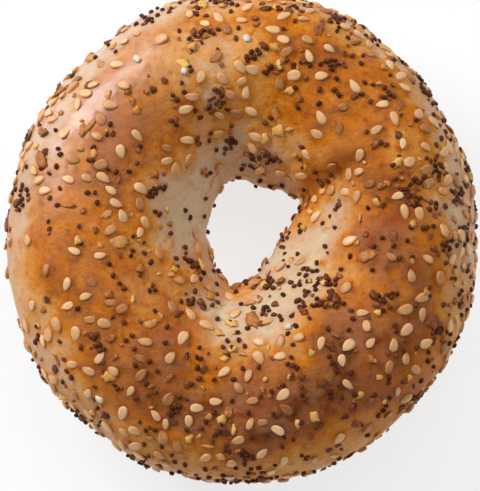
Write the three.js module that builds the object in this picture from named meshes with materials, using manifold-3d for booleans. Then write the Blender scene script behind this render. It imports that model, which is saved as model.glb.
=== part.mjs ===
/**
 * A seeded bagel: one hand-rolled ring of baked dough, with sesame seeds and
 * flakes of dried onion baked into its crust.
 *
 * Millimetres, +Z up. The bagel lies on its flat base, and the origin is the
 * middle of that base, so the hole is close to the origin but not on it.
 * An azimuth runs round the ring, and a turn runs round the dough's section:
 * 0 at the outer side, a quarter turn at the crest, half a turn at the waist
 * of the hole and three quarters at the base.
 */
import * as THREE from "three";
import { mergeVertices } from "three/addons/utils/BufferGeometryUtils.js";
import Module from "manifold-3d";

const FULL_TURN = 2 * Math.PI;
const degrees = THREE.MathUtils.degToRad;

// ---------------------------------------------------------------------------
// Driving dimensions
// ---------------------------------------------------------------------------

/** Each wave swells the radius `per` times round the ring, first at `at`. */
const OUTLINE = {
  centre: [0.16, -0.38],
  radius: 53.8,
  waves: [
    { per: 2, swell: 0.0218, at: degrees(86) },
    { per: 3, swell: 0.0043, at: degrees(91) },
    { per: 4, swell: 0.004, at: degrees(19) },
    { per: 7, swell: 0.0027, at: degrees(8) },
  ],
};

/** The hole is off-centre and a rounded triangle, as a stretched ring's is. */
const HOLE = {
  centre: [1.57, 2.87],
  radius: 10.24,
  waves: [
    { per: 2, swell: 0.218, at: degrees(78) },
    { per: 3, swell: 0.111, at: degrees(17) },
    { per: 4, swell: 0.036, at: degrees(21) },
    { per: 5, swell: 0.068, at: degrees(39) },
  ],
};

/** Heights of the section, and where its crest lies between hole and outline. */
const SECTION = {
  crestHeight: 36.5,
  crestAcross: 0.57,
  sideHeight: 15.5,
  waistHeight: 12.5,
  baseAcross: 0.52,
  baseSink: 3.2,
  baseEdgeRounding: 1.4,
};

/** How full each quarter of the section is: 0 is an ellipse, more is squarer. */
const FULLNESS = {
  outerTop: 0.014,
  innerTop: -0.02,
  innerBase: 0.01,
  outerBase: 0.014,
};

/** The crest rises and falls a little round the ring. */
const CREST_SWELLS = [
  { per: 1, height: 0.7, at: degrees(70) },
  { per: 3, height: 0.45, at: degrees(200) },
  { per: 5, height: 0.3, at: degrees(20) },
];

/** Broad unevenness of the dough, as waves that run in one direction. */
const LUMPS = [
  { height: 0.3, length: 33, toward: [1, 0.35, 0.3], start: 0.4 },
  { height: 0.28, length: 24, toward: [-0.45, 1, 0.5], start: 2.1 },
  { height: 0.2, length: 17, toward: [0.8, -0.9, 0.6], start: 4.0 },
  { height: 0.12, length: 11, toward: [0.3, 0.9, -1], start: 1.2 },
];

/** Round rises and hollows: where, how wide, and how high. */
const KNUCKLES = [
  { name: "front_knuckle", azimuth: -66, across: 0.42, reach: 6, lift: 2.4 },
  { name: "front_hollow", azimuth: -42, across: 0.5, reach: 4.5, lift: -1.6 },
  { name: "right_shoulder", azimuth: 24, across: 0.5, reach: 8, lift: 0.9 },
  { name: "inner_hollow", azimuth: -12, across: 0.2, reach: 6, lift: -1.1 },
  { name: "back_shoulder", azimuth: 118, across: 0.6, reach: 9, lift: 0.6 },
  { name: "left_dip", azimuth: 172, across: 0.45, reach: 8, lift: -0.7 },
];

/** Creases that run out of the hole, where the rolled dough was joined. */
const CREASES = [
  { name: "join", azimuth: 26, ends: 0.42, width: 1.5, depth: 1.7, step: 0.9 },
  { name: "tuck", azimuth: -104, ends: 0.3, width: 1.3, depth: 0.7, step: 0.3 },
  { name: "fold", azimuth: 150, ends: 0.28, width: 1.6, depth: 0.6, step: -0.3 },
];
const CREASE_FADE = 0.16;
const STEP_REACH = 3.2;
const RELIEF_FADE_HEIGHT = 7;

/** Facets of the dough: round the ring, and round its section. */
const DOUGH_FACETS = { round: 64, section: 28 };

const SEED = {
  count: 165,
  length: 3.4,
  width: 2.15,
  thickness: 1.1,
  sizeSpread: 0.14,
  depth: 0.05,
  spacing: 2.7,
  tilt: degrees(14),
  sides: 5,
  // Half widths along the seed, from its round end to its point.
  stations: [
    { along: -0.2, width: 1.0 },
    { along: 0.2, width: 0.76 },
  ],
};

const FLAKE = {
  count: 14,
  length: 5.2,
  width: 2.9,
  thickness: 0.8,
  sizeSpread: 0.3,
  depth: 0.12,
  spacing: 6,
  tilt: degrees(12),
  corners: 7,
  ragged: 0.3,
};

/** Nothing is stuck on below this height, so that the base stays flat. */
const BARE_BELOW = 4.5;

/** Where the toppings fell thickly or thinly, seen from above, in millimetres. */
const DRIFTS = [
  { name: "back_right", at: [28, 43], reach: 10, gain: 1.3 },
  { name: "back", at: [6, 49], reach: 10, gain: 0.7 },
  { name: "right_flank", at: [49, 18], reach: 10, gain: 0.9 },
  { name: "front", at: [0, -33], reach: 10, gain: 0.9 },
  { name: "front_left", at: [-34, -32], reach: 8, gain: 0.8 },
  { name: "left_ring", at: [-30, 11], reach: 10, gain: 0.4 },
  { name: "back_left_bare", at: [-21, 38], reach: 9, gain: -0.7 },
  { name: "left_flank_bare", at: [-46, -11], reach: 9, gain: -0.8 },
  { name: "right_crest_bare", at: [24, 24], reach: 6, gain: -0.5 },
  { name: "front_right_bare", at: [24, -45], reach: 10, gain: -0.5 },
  { name: "left_slope_bare", at: [-13, 11], reach: 4, gain: -0.7 },
  { name: "front_slope_bare", at: [0, -19], reach: 5, gain: -0.6 },
];

const COLOUR = { crust: "#b9722f" };

// ---------------------------------------------------------------------------
// The dough's surface
// ---------------------------------------------------------------------------

/** A point of the outline or of the hole's waist, at an azimuth. */
function edgePoint({ centre, radius, waves }, azimuth) {
  const swell = waves.reduce(
    (sum, wave) => sum + wave.swell * Math.cos(wave.per * (azimuth - wave.at)),
    1,
  );
  return [
    centre[0] + radius * swell * Math.cos(azimuth),
    centre[1] + radius * swell * Math.sin(azimuth),
  ];
}

/** A height that is never below 0, rounded where it meets the base. */
function restOnBase(height) {
  const rounding = SECTION.baseEdgeRounding;
  if (height >= rounding) return height;
  if (height <= -rounding) return 0;
  return (height + rounding) ** 2 / (4 * rounding);
}

function crestHeight(azimuth) {
  return CREST_SWELLS.reduce(
    (sum, s) => sum + s.height * Math.cos(s.per * (azimuth - s.at)),
    SECTION.crestHeight,
  );
}

/** The smooth section: how far across the ring, 0 to 1, and how high. */
function sectionPoint(azimuth, turn) {
  const outer = Math.cos(turn) >= 0;
  const upper = Math.sin(turn) >= 0;
  const part = (outer ? "outer" : "inner") + (upper ? "Top" : "Base");
  const full = FULLNESS[part];
  const x = (1 + full) * Math.cos(turn) - full * Math.cos(3 * turn);
  const y = (1 + full) * Math.sin(turn) + full * Math.sin(3 * turn);
  const middle = upper ? SECTION.crestAcross : SECTION.baseAcross;
  const widest = outer ? SECTION.sideHeight : SECTION.waistHeight;
  const rise = upper
    ? crestHeight(azimuth) - widest
    : widest + SECTION.baseSink;
  return {
    across: middle + x * (outer ? 1 - middle : middle),
    height: widest + rise * y,
  };
}

/** A point between the hole's edge and the outline, in the plane of the base. */
function planPoint(azimuth, across) {
  const inner = edgePoint(HOLE, azimuth);
  const outer = edgePoint(OUTLINE, azimuth);
  return inner.map((from, axis) => from + across * (outer[axis] - from));
}

/** A point of the smooth ring, before any lump, knuckle or crease. */
function smoothPoint(azimuth, turn) {
  const { across, height } = sectionPoint(azimuth, turn);
  const [x, y] = planPoint(azimuth, across);
  return new THREE.Vector3(x, y, height);
}

/** The turn at which the upper side is this far across the ring. */
function turnAt(across) {
  const crest = SECTION.crestAcross;
  const x = (across - crest) / (across >= crest ? 1 - crest : crest);
  return Math.acos(THREE.MathUtils.clamp(x, -1, 1));
}

const knucklePlaces = KNUCKLES.map(({ azimuth, across, reach, lift }) => ({
  centre: smoothPoint(degrees(azimuth), turnAt(across)),
  reach,
  lift,
}));

/** How far the crust stands off the smooth ring, in millimetres. */
function relief(azimuth, turn, point) {
  let lift = 0;
  for (const { height, length, toward, start } of LUMPS) {
    const run = new THREE.Vector3(...toward).normalize().dot(point);
    lift += height * Math.sin((FULL_TURN * run) / length + start);
  }
  for (const knuckle of knucklePlaces) {
    const away = point.distanceTo(knuckle.centre) / knuckle.reach;
    lift += knuckle.lift * Math.exp(-0.5 * away * away);
  }
  const { across } = sectionPoint(azimuth, turn);
  const radius = Math.hypot(point.x - HOLE.centre[0], point.y - HOLE.centre[1]);
  for (const crease of CREASES) {
    const turned = azimuth - degrees(crease.azimuth);
    if (Math.cos(turned) <= 0) continue;
    const aside = radius * Math.sin(turned);
    const fade = 1 - THREE.MathUtils.smoothstep(
      across, crease.ends - CREASE_FADE, crease.ends + CREASE_FADE);
    const near = aside / crease.width;
    const wide = aside / (STEP_REACH * crease.width);
    lift -= fade * crease.depth * Math.exp(-0.5 * near * near);
    lift += fade * crease.step * 2 * wide * Math.exp(-0.5 * wide * wide);
  }
  return lift * THREE.MathUtils.smoothstep(point.z, 0, RELIEF_FADE_HEIGHT);
}

/** A point of the crust. The relief pushes it away from the dough's core. */
function crustPoint(azimuth, turn) {
  const point = smoothPoint(azimuth, turn);
  const [coreX, coreY] = planPoint(azimuth, 0.5);
  const core = new THREE.Vector3(coreX, coreY, SECTION.sideHeight);
  const away = point.clone().sub(core).normalize();
  point.addScaledVector(away, relief(azimuth, turn, point));
  point.z = restOnBase(point.z);
  return point;
}

const PROBE = 1e-3;

/** Where a topping sits: the crust's point, its two tangents and its normal. */
function crustFrame(azimuth, turn) {
  const point = crustPoint(azimuth, turn);
  const round = crustPoint(azimuth + PROBE, turn).sub(point).divideScalar(PROBE);
  const down = crustPoint(azimuth, turn + PROBE).sub(point).divideScalar(PROBE);
  const cross = round.clone().cross(down);
  const area = cross.length();
  return {
    point,
    area,
    normal: cross.divideScalar(area),
    along: round.normalize(),
  };
}

// ---------------------------------------------------------------------------
// Solids
// ---------------------------------------------------------------------------

const wasm = await Module();
wasm.setup();

/** A closed triangle mesh as a manifold-3d solid. */
function solidOf(positions, indices) {
  const geometry = new THREE.BufferGeometry()
    .setAttribute("position", new THREE.Float32BufferAttribute(positions, 3))
    .setIndex(indices);
  const merged = mergeVertices(geometry, 1e-4);
  return new wasm.Manifold(
    new wasm.Mesh({
      numProp: 3,
      vertProperties: merged.attributes.position.array,
      triVerts: new Uint32Array(merged.index.array),
    }),
  );
}

/** The bare ring of dough. */
function makeDough() {
  const { round, section } = DOUGH_FACETS;
  const positions = [];
  const indices = [];
  for (let i = 0; i < round; i++)
    for (let j = 0; j < section; j++) {
      const azimuth = (FULL_TURN * i) / round;
      const turn = (FULL_TURN * (j + 0.5 * (i % 2))) / section;
      positions.push(...crustPoint(azimuth, turn).toArray());
    }
  const at = (i, j) => (i % round) * section + ((j + section) % section);
  for (let i = 0; i < round; i++)
    for (let j = 0; j < section; j++) {
      // Every second ring of points is half a step on, so the facets are even.
      const [a, b] = [at(i, j), at(i, j + 1)];
      const [c, d] = [at(i + 1, j), at(i + 1, j + 1)];
      if (i % 2 === 0) indices.push(a, c, b, c, d, b);
      else indices.push(a, c, d, a, d, b);
    }
  return solidOf(positions, indices);
}

/** A fixed draw from 0 to 1 for a numbered try and purpose. */
function draw(number, purpose) {
  let hash = (Math.imul(number, 374761393) + Math.imul(purpose, 668265263)) | 0;
  hash = Math.imul(hash ^ (hash >>> 13), 1274126177);
  hash = Math.imul(hash ^ (hash >>> 15), 2246822519);
  return ((hash ^ (hash >>> 16)) >>> 0) / 2 ** 32;
}

/** How thickly the toppings lie at a point: 1 is the usual cover. */
function cover(point) {
  if (point.z < BARE_BELOW) return 0;
  const lowFlank = THREE.MathUtils.smoothstep(point.z, BARE_BELOW, 18);
  const drifts = DRIFTS.reduce((sum, { at, reach, gain }) => {
    const away = Math.hypot(point.x - at[0], point.y - at[1]) / reach;
    return sum + gain * Math.exp(-0.5 * away * away);
  }, 1);
  return Math.max(0, drifts) * (0.3 + 0.7 * lowFlank);
}

const LARGEST_AREA = 1700;
const THICKEST_COVER = 2.2;

/** Lays toppings one by one: each keeps its spacing from those already there. */
function scatter(topping, stream, taken) {
  const placed = [];
  for (let number = 0; placed.length < topping.count; number++) {
    const azimuth = FULL_TURN * draw(number, stream);
    const turn = FULL_TURN * draw(number, stream + 1);
    const frame = crustFrame(azimuth, turn);
    const chance = (frame.area / LARGEST_AREA) * (cover(frame.point) / THICKEST_COVER);
    if (draw(number, stream + 2) > chance) continue;
    const crowded = [...taken, ...placed].some(
      (other) => other.point.distanceTo(frame.point) < topping.spacing,
    );
    if (crowded) continue;
    placed.push({
      ...frame,
      heading: FULL_TURN * draw(number, stream + 3),
      size: 1 + topping.sizeSpread * (2 * draw(number, stream + 4) - 1),
      lean: topping.tilt * (2 * draw(number, stream + 5) - 1),
      number,
    });
  }
  return placed;
}

/** The matrix that lays a topping's flat side on the crust. */
function seat({ point, normal, along, heading, size, lean }, depth) {
  const x = along.clone().applyAxisAngle(normal, heading);
  const y = normal.clone().cross(x);
  const up = normal.clone().applyAxisAngle(y, lean);
  x.applyAxisAngle(y, lean);
  return new THREE.Matrix4()
    .makeBasis(x, y, up)
    .scale(new THREE.Vector3(size, size, size))
    .setPosition(point.clone().addScaledVector(normal, depth));
}

/** Rings of points between two poles, closed into one solid. */
function lathedSolid(rings, firstPole, lastPole, matrix) {
  const points = [firstPole, ...rings.flat(), lastPole].map((p) =>
    new THREE.Vector3(...p).applyMatrix4(matrix),
  );
  const sides = rings[0].length;
  const last = points.length - 1;
  const indices = [];
  for (let k = 0; k < sides; k++) {
    const next = (k + 1) % sides;
    indices.push(0, 1 + next, 1 + k);
    const end = last - sides;
    indices.push(last, end + k, end + next);
    for (let r = 0; r + 1 < rings.length; r++) {
      const low = 1 + r * sides;
      const high = low + sides;
      indices.push(low + k, low + next, high + k, low + next, high + next, high + k);
    }
  }
  return solidOf(points.flatMap((p) => p.toArray()), indices);
}

/** A sesame seed: a flattened drop with a round end and a point. */
function makeSeed(place) {
  const rings = SEED.stations.map(({ along, width }) =>
    Array.from({ length: SEED.sides }, (_, k) => {
      const angle = (FULL_TURN * (k + 0.25)) / SEED.sides;
      return [
        along * SEED.length,
        0.5 * SEED.width * width * Math.cos(angle),
        0.5 * SEED.thickness * width * Math.sin(angle),
      ];
    }),
  );
  const end = 0.5 * SEED.length;
  return lathedSolid(rings, [-end, 0, 0], [end, 0, 0], seat(place, SEED.depth));
}

/** A flake of dried onion: a thin ragged plate. */
function makeFlake(place) {
  const ring = (level, shrink) =>
    Array.from({ length: FLAKE.corners }, (_, k) => {
      const angle = (FULL_TURN * k) / FLAKE.corners;
      const ragged = 1 - FLAKE.ragged * draw(place.number, 40 + k);
      return [
        0.5 * FLAKE.length * shrink * ragged * Math.cos(angle),
        0.5 * FLAKE.width * shrink * ragged * Math.sin(angle),
        level,
      ];
    });
  const half = 0.5 * FLAKE.thickness;
  const rings = [ring(-half, 1), ring(half, 0.82)];
  return lathedSolid(rings, [0, 0, -half - 0.1], [0, 0, half + 0.1], seat(place, FLAKE.depth));
}

/** The bagel as one solid: dough, flakes and seeds fused together. */
function makeBagel() {
  const flakes = scatter(FLAKE, 20, []);
  const seeds = scatter(SEED, 10, flakes);
  const whole = wasm.Manifold.union([
    makeDough(),
    ...flakes.map(makeFlake),
    ...seeds.map(makeSeed),
  ]);
  const { vertProperties, triVerts } = whole.getMesh();
  const geometry = new THREE.BufferGeometry()
    .setAttribute("position", new THREE.BufferAttribute(vertProperties, 3))
    .setIndex(new THREE.BufferAttribute(triVerts, 1));
  geometry.computeVertexNormals();
  return geometry;
}

const crust = new THREE.MeshStandardMaterial({
  color: COLOUR.crust,
  roughness: 0.45,
  metalness: 0,
});
const bagel = new THREE.Mesh(makeBagel(), crust);
bagel.name = "bagel";

const part = new THREE.Group();
part.add(bagel);

export default part;
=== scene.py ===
"""A seeded bagel on a pale table: one hand-rolled ring of baked dough under a mix of toppings.

The ring's surface and the rule that strews the toppings are the ones the solid model follows, so the
sesame seeds and onion flakes of the solid lie in the same places here. Lengths inside the classes are
in millimetres, +Z up, with the origin in the middle of the flat base. Meshes are handed to Blender in
metres.
"""

import logging
import math
from dataclasses import dataclass
from dataclasses import field
from enum import Enum

import bpy
import numpy as np
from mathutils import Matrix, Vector
from mathutils.kdtree import KDTree


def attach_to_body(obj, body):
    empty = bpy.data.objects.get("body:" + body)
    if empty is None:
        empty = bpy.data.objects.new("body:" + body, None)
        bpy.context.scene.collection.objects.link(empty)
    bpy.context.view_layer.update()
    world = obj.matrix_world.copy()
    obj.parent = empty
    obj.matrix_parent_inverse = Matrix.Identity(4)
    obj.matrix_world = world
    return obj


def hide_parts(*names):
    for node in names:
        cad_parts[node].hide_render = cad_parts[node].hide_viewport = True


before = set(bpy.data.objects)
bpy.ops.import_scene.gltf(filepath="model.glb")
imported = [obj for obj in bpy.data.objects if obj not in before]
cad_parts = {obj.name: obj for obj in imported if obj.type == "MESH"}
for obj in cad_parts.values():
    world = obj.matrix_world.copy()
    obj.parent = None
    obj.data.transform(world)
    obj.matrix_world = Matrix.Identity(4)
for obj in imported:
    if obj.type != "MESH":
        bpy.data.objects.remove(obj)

LOG = logging.getLogger("bagel")
MM = 0.001
FULL_TURN = 2.0 * math.pi
# Brings the noise to its full range.
NOISE_SWING = 1.6
# Layers of unevenness: the height, the size in millimetres and the purpose of each.
Layers = tuple[tuple[float, float, int], ...]
BODY = "root"
NODE = "bagel"
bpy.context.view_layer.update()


class Slot(Enum):
    """The record's material slots."""

    CRUST = "crust"
    SESAME = "sesame_seed"
    POPPY = "poppy_seed"
    ONION = "onion_flake"
    SALT = "salt_grain"


class Side(Enum):
    """The two ends of a topping's range: what lies on the crust, and what is baked into the base."""

    CRUST = "crust"
    BASE = "base"


# Small helpers.


def linear(hex_colour: str) -> tuple[float, float, float, float]:
    """Turns an sRGB hex colour into linear values.

    Args:
        hex_colour: A colour such as "#b9722f".

    Returns:
        Red, green, blue and an alpha of 1.
    """
    channels = [int(hex_colour[k : k + 2], 16) / 255.0 for k in (1, 3, 5)]
    red, green, blue = (c / 12.92 if c <= 0.04045 else ((c + 0.055) / 1.055) ** 2.4 for c in channels)
    return (red, green, blue, 1.0)


def per_metre(size_mm: float) -> float:
    """How often a pattern of this size, in millimetres, repeats in a metre."""
    return 1.0 / (size_mm * MM)


def smoothstep(value: np.ndarray, low: float, high: float) -> np.ndarray:
    """Eases from 0 at low to 1 at high."""
    share = np.clip((value - low) / (high - low), 0.0, 1.0)
    return share * share * (3.0 - 2.0 * share)


def unit(vectors: np.ndarray) -> np.ndarray:
    """The same directions at length 1, along the last axis."""
    return vectors / np.maximum(np.linalg.norm(vectors, axis=-1, keepdims=True), 1e-12)


def bell(value: np.ndarray) -> np.ndarray:
    """1 at 0, and falling off within about 1 on both sides."""
    return np.exp(-0.5 * value * value)


def draws(numbers: np.ndarray, purpose: int) -> np.ndarray:
    """Fixed draws from 0 to 1 for numbered tries.

    Args:
        numbers: The numbers of the tries.
        purpose: What the draw is for, so that two purposes don't go together.

    Returns:
        One value for each number.
    """
    word = np.uint64(0xFFFFFFFF)
    value = np.asarray(numbers, np.int64).astype(np.uint64)
    value = (value * np.uint64(374761393) + np.uint64(purpose * 668265263 & 0xFFFFFFFF)) & word
    value = ((value ^ (value >> np.uint64(13))) * np.uint64(1274126177)) & word
    value = ((value ^ (value >> np.uint64(15))) * np.uint64(2246822519)) & word
    return (value ^ (value >> np.uint64(16))).astype(float) / 2**32


def either_way(numbers: np.ndarray, purpose: int) -> np.ndarray:
    """Fixed draws from -1 to 1."""
    return 2.0 * draws(numbers, purpose) - 1.0


def between(low: float, high: float, numbers: np.ndarray, purpose: int) -> np.ndarray:
    """Fixed draws between two values."""
    return low + (high - low) * draws(numbers, purpose)


def clear(points: np.ndarray, spot: np.ndarray, distance: float) -> bool:
    """Whether no point is nearer to the spot than this distance."""
    return not len(points) or np.min(np.linalg.norm(points - spot, axis=1)) >= distance


def noise(points: np.ndarray, size: float, purpose: int) -> np.ndarray:
    """Smooth unevenness in space, from about -1 to 1.

    Args:
        points: Places in millimetres, one a row.
        size: Width of one rise, in millimetres.
        purpose: Keeps one pattern apart from another.

    Returns:
        One value for each place.
    """
    place = points / size
    corner = np.floor(place).astype(np.int64)
    inside = place - corner
    ease = inside * inside * inside * (inside * (inside * 6.0 - 15.0) + 10.0)
    total = np.zeros(len(points))
    for step in np.ndindex(2, 2, 2):
        lattice = corner + np.array(step)
        number = (
            lattice[:, 0] * 73856093 ^ lattice[:, 1] * 19349663 ^ lattice[:, 2] * 83492791
        ) & 0x7FFFFFFF
        slope = np.stack([either_way(number, purpose + axis) for axis in range(3)], -1)
        share = np.prod(np.where(np.array(step) == 1, ease, 1.0 - ease), axis=1)
        total += share * np.sum(unit(slope) * (inside - np.array(step)), axis=1)
    return NOISE_SWING * total


def rises(point: np.ndarray, layers: Layers, start: np.ndarray | float = 0.0) -> np.ndarray:
    """Adds layers of unevenness to a value.

    Args:
        point: Places in millimetres, one a row.
        layers: The layers to add.
        start: The value without them.

    Returns:
        The value at each place.
    """
    for height, size, purpose in layers:
        start = start + height * noise(point, size, purpose)
    return start


# Settings that several nodes share.
TIMES = {"operation": "MULTIPLY"}
TIMES_PLUS = {"operation": "MULTIPLY_ADD"}
BLEND = {"data_type": "RGBA"}


def add_node(
    tree: bpy.types.NodeTree, kind: str, settings: dict, output: int | str = 0
) -> bpy.types.NodeSocket | None:
    """Adds a node with its settings and links.

    Args:
        tree: The node tree.
        kind: Blender's name for the node, without "ShaderNode".
        settings: By socket name or number, or by property name: a value, or the output that is linked
            to it. "stops" sets a colour ramp.
        output: Which output is wanted.

    Returns:
        That output, or None if the node has none.
    """
    node = tree.nodes.new("ShaderNode" + kind)
    for name, value in settings.items():
        if isinstance(value, bpy.types.NodeSocket):
            tree.links.new(value, node.inputs[name])
        elif name == "stops":
            elements = node.color_ramp.elements
            while len(elements) < len(value):
                elements.new(1.0)
            for element, (position, colour) in zip(elements, value):
                element.position = position
                element.color = linear(colour)
        elif isinstance(name, int) or name in node.inputs:
            node.inputs[name].default_value = value
        else:
            setattr(node, name, value)
    return node.outputs[output] if len(node.outputs) else None


def new_material(name: str) -> tuple[bpy.types.Material, bpy.types.NodeTree, bpy.types.NodeSocket]:
    """Starts a material with an empty node tree.

    Args:
        name: What the real material is and how it was made.

    Returns:
        The material, its tree and the place of each point, for its patterns.
    """
    material = bpy.data.materials.new(name)
    material.use_nodes = True
    tree = material.node_tree
    tree.nodes.clear()
    return material, tree, add_node(tree, "TexCoord", {}, "Object")


def new_piece(
    name: str, points: np.ndarray, faces: np.ndarray, attributes: dict[str, np.ndarray],
) -> bpy.types.Object:
    """Makes one smooth mesh from points in millimetres.

    Args:
        name: The piece's name.
        points: One point a row, in millimetres.
        faces: Three or four point numbers a row.
        attributes: Values a point by name, for the finish to read.

    Returns:
        The new object, in the scene.
    """
    mesh = bpy.data.meshes.new(name)
    corners = faces.shape[1]
    mesh.vertices.add(len(points))
    mesh.vertices.foreach_set("co", (points * MM).astype(np.float32).ravel())
    mesh.loops.add(faces.size)
    mesh.loops.foreach_set("vertex_index", faces.astype(np.int32).ravel())
    mesh.polygons.add(len(faces))
    mesh.polygons.foreach_set("loop_start", np.arange(0, faces.size, corners, dtype=np.int32))
    mesh.update(calc_edges=True)
    mesh.polygons.foreach_set("use_smooth", np.ones(len(faces), bool))
    for label, values in attributes.items():
        layer = mesh.attributes.new(label, "FLOAT", "POINT")
        layer.data.foreach_set("value", np.asarray(values, np.float32))
    mesh.validate()
    piece = bpy.data.objects.new(name, mesh)
    bpy.context.scene.collection.objects.link(piece)
    return piece


def attach(piece: bpy.types.Object, material: bpy.types.Material) -> bpy.types.Object:
    """Gives a piece its finish and lets it ride on the bagel.

    Args:
        piece: The new piece.
        material: The finish.

    Returns:
        The same piece.
    """
    piece.data.materials.append(material)
    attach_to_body(piece, BODY)
    LOG.info("%s: %d faces", piece.name, len(piece.data.polygons))
    return piece


def grid_faces(rows: int, columns: int, closed: bool) -> np.ndarray:
    """The squares of a grid of points.

    Args:
        rows: How many rows of points.
        columns: How many points a row.
        closed: Whether the grid closes on itself both ways.

    Returns:
        Four point numbers for each square.
    """
    i, j = (side.ravel() for side in np.indices((rows, columns) if closed else (rows - 1, columns - 1)))
    after, beyond = (i + 1) % rows, (j + 1) % columns
    corners = ((i, j), (after, j), (after, beyond), (i, beyond))
    return np.stack([row * columns + column for row, column in corners], -1)


def fan(tip: int, ring: int, sides: int) -> np.ndarray:
    """Triangles between a point and a ring of points.

    Args:
        tip: The point's number.
        ring: The number of the ring's first point.
        sides: How many points the ring has.

    Returns:
        Three point numbers for each triangle.
    """
    k = np.arange(sides)
    return np.stack([np.full(sides, tip), ring + k, ring + (k + 1) % sides], -1)


def band(inner: int, outer: int, sides: int) -> np.ndarray:
    """Triangles between two rings of points.

    Args:
        inner: The number of the inner ring's first point.
        outer: The number of the outer ring's first point.
        sides: How many points each ring has.

    Returns:
        Three point numbers for each triangle.
    """
    k = np.arange(sides)
    after = (k + 1) % sides
    one = np.stack([inner + k, outer + k, inner + after], -1)
    return np.concatenate([one, np.stack([outer + k, outer + after, inner + after], -1)])


def disc(rings: int, sides: int) -> np.ndarray:
    """Triangles of point 0 with rings of points round it.

    Args:
        rings: How many rings.
        sides: How many points each ring has.

    Returns:
        Three point numbers for each triangle.
    """
    starts = [1 + ring * sides for ring in range(rings)]
    return np.concatenate([fan(0, 1, sides)] + [band(low, low + sides, sides) for low in starts[:-1]])


# The ring of dough.


@dataclass(frozen=True)
class Wave:
    """A swelling that comes back `per` times round the ring, first at `at` degrees."""

    per: int
    swell: float
    at: float


@dataclass(frozen=True)
class Edge:
    """The outline or the hole's waist, seen from above."""

    centre: tuple[float, float]
    radius: float
    waves: tuple[Wave, ...]

    def at(self, azimuth: np.ndarray) -> np.ndarray:
        """The edge's points in the plane of the base.

        Args:
            azimuth: Angles round the centre.

        Returns:
            One point (x, y) for each angle.
        """
        reach = self.radius * (1.0 + waves_at(self.waves, azimuth))
        x = self.centre[0] + reach * np.cos(azimuth)
        y = self.centre[1] + reach * np.sin(azimuth)
        return np.stack([x, y], -1)


def waves_at(waves: tuple[Wave, ...], azimuth: np.ndarray) -> np.ndarray:
    """The sum of the waves at these azimuths."""
    return sum(w.swell * np.cos(w.per * (azimuth - math.radians(w.at))) for w in waves)


@dataclass(frozen=True)
class Lump:
    """Broad unevenness: a wave of this height and length that runs one way."""

    height: float
    length: float
    toward: tuple[float, float, float]
    start: float


@dataclass(frozen=True)
class Knuckle:
    """A round rise or hollow: where, how wide and how high."""

    azimuth: float
    across: float
    reach: float
    lift: float


@dataclass(frozen=True)
class Crease:
    """A crease that runs out of the hole, where the rolled dough was joined."""

    azimuth: float
    ends: float
    width: float
    depth: float
    step: float


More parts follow.
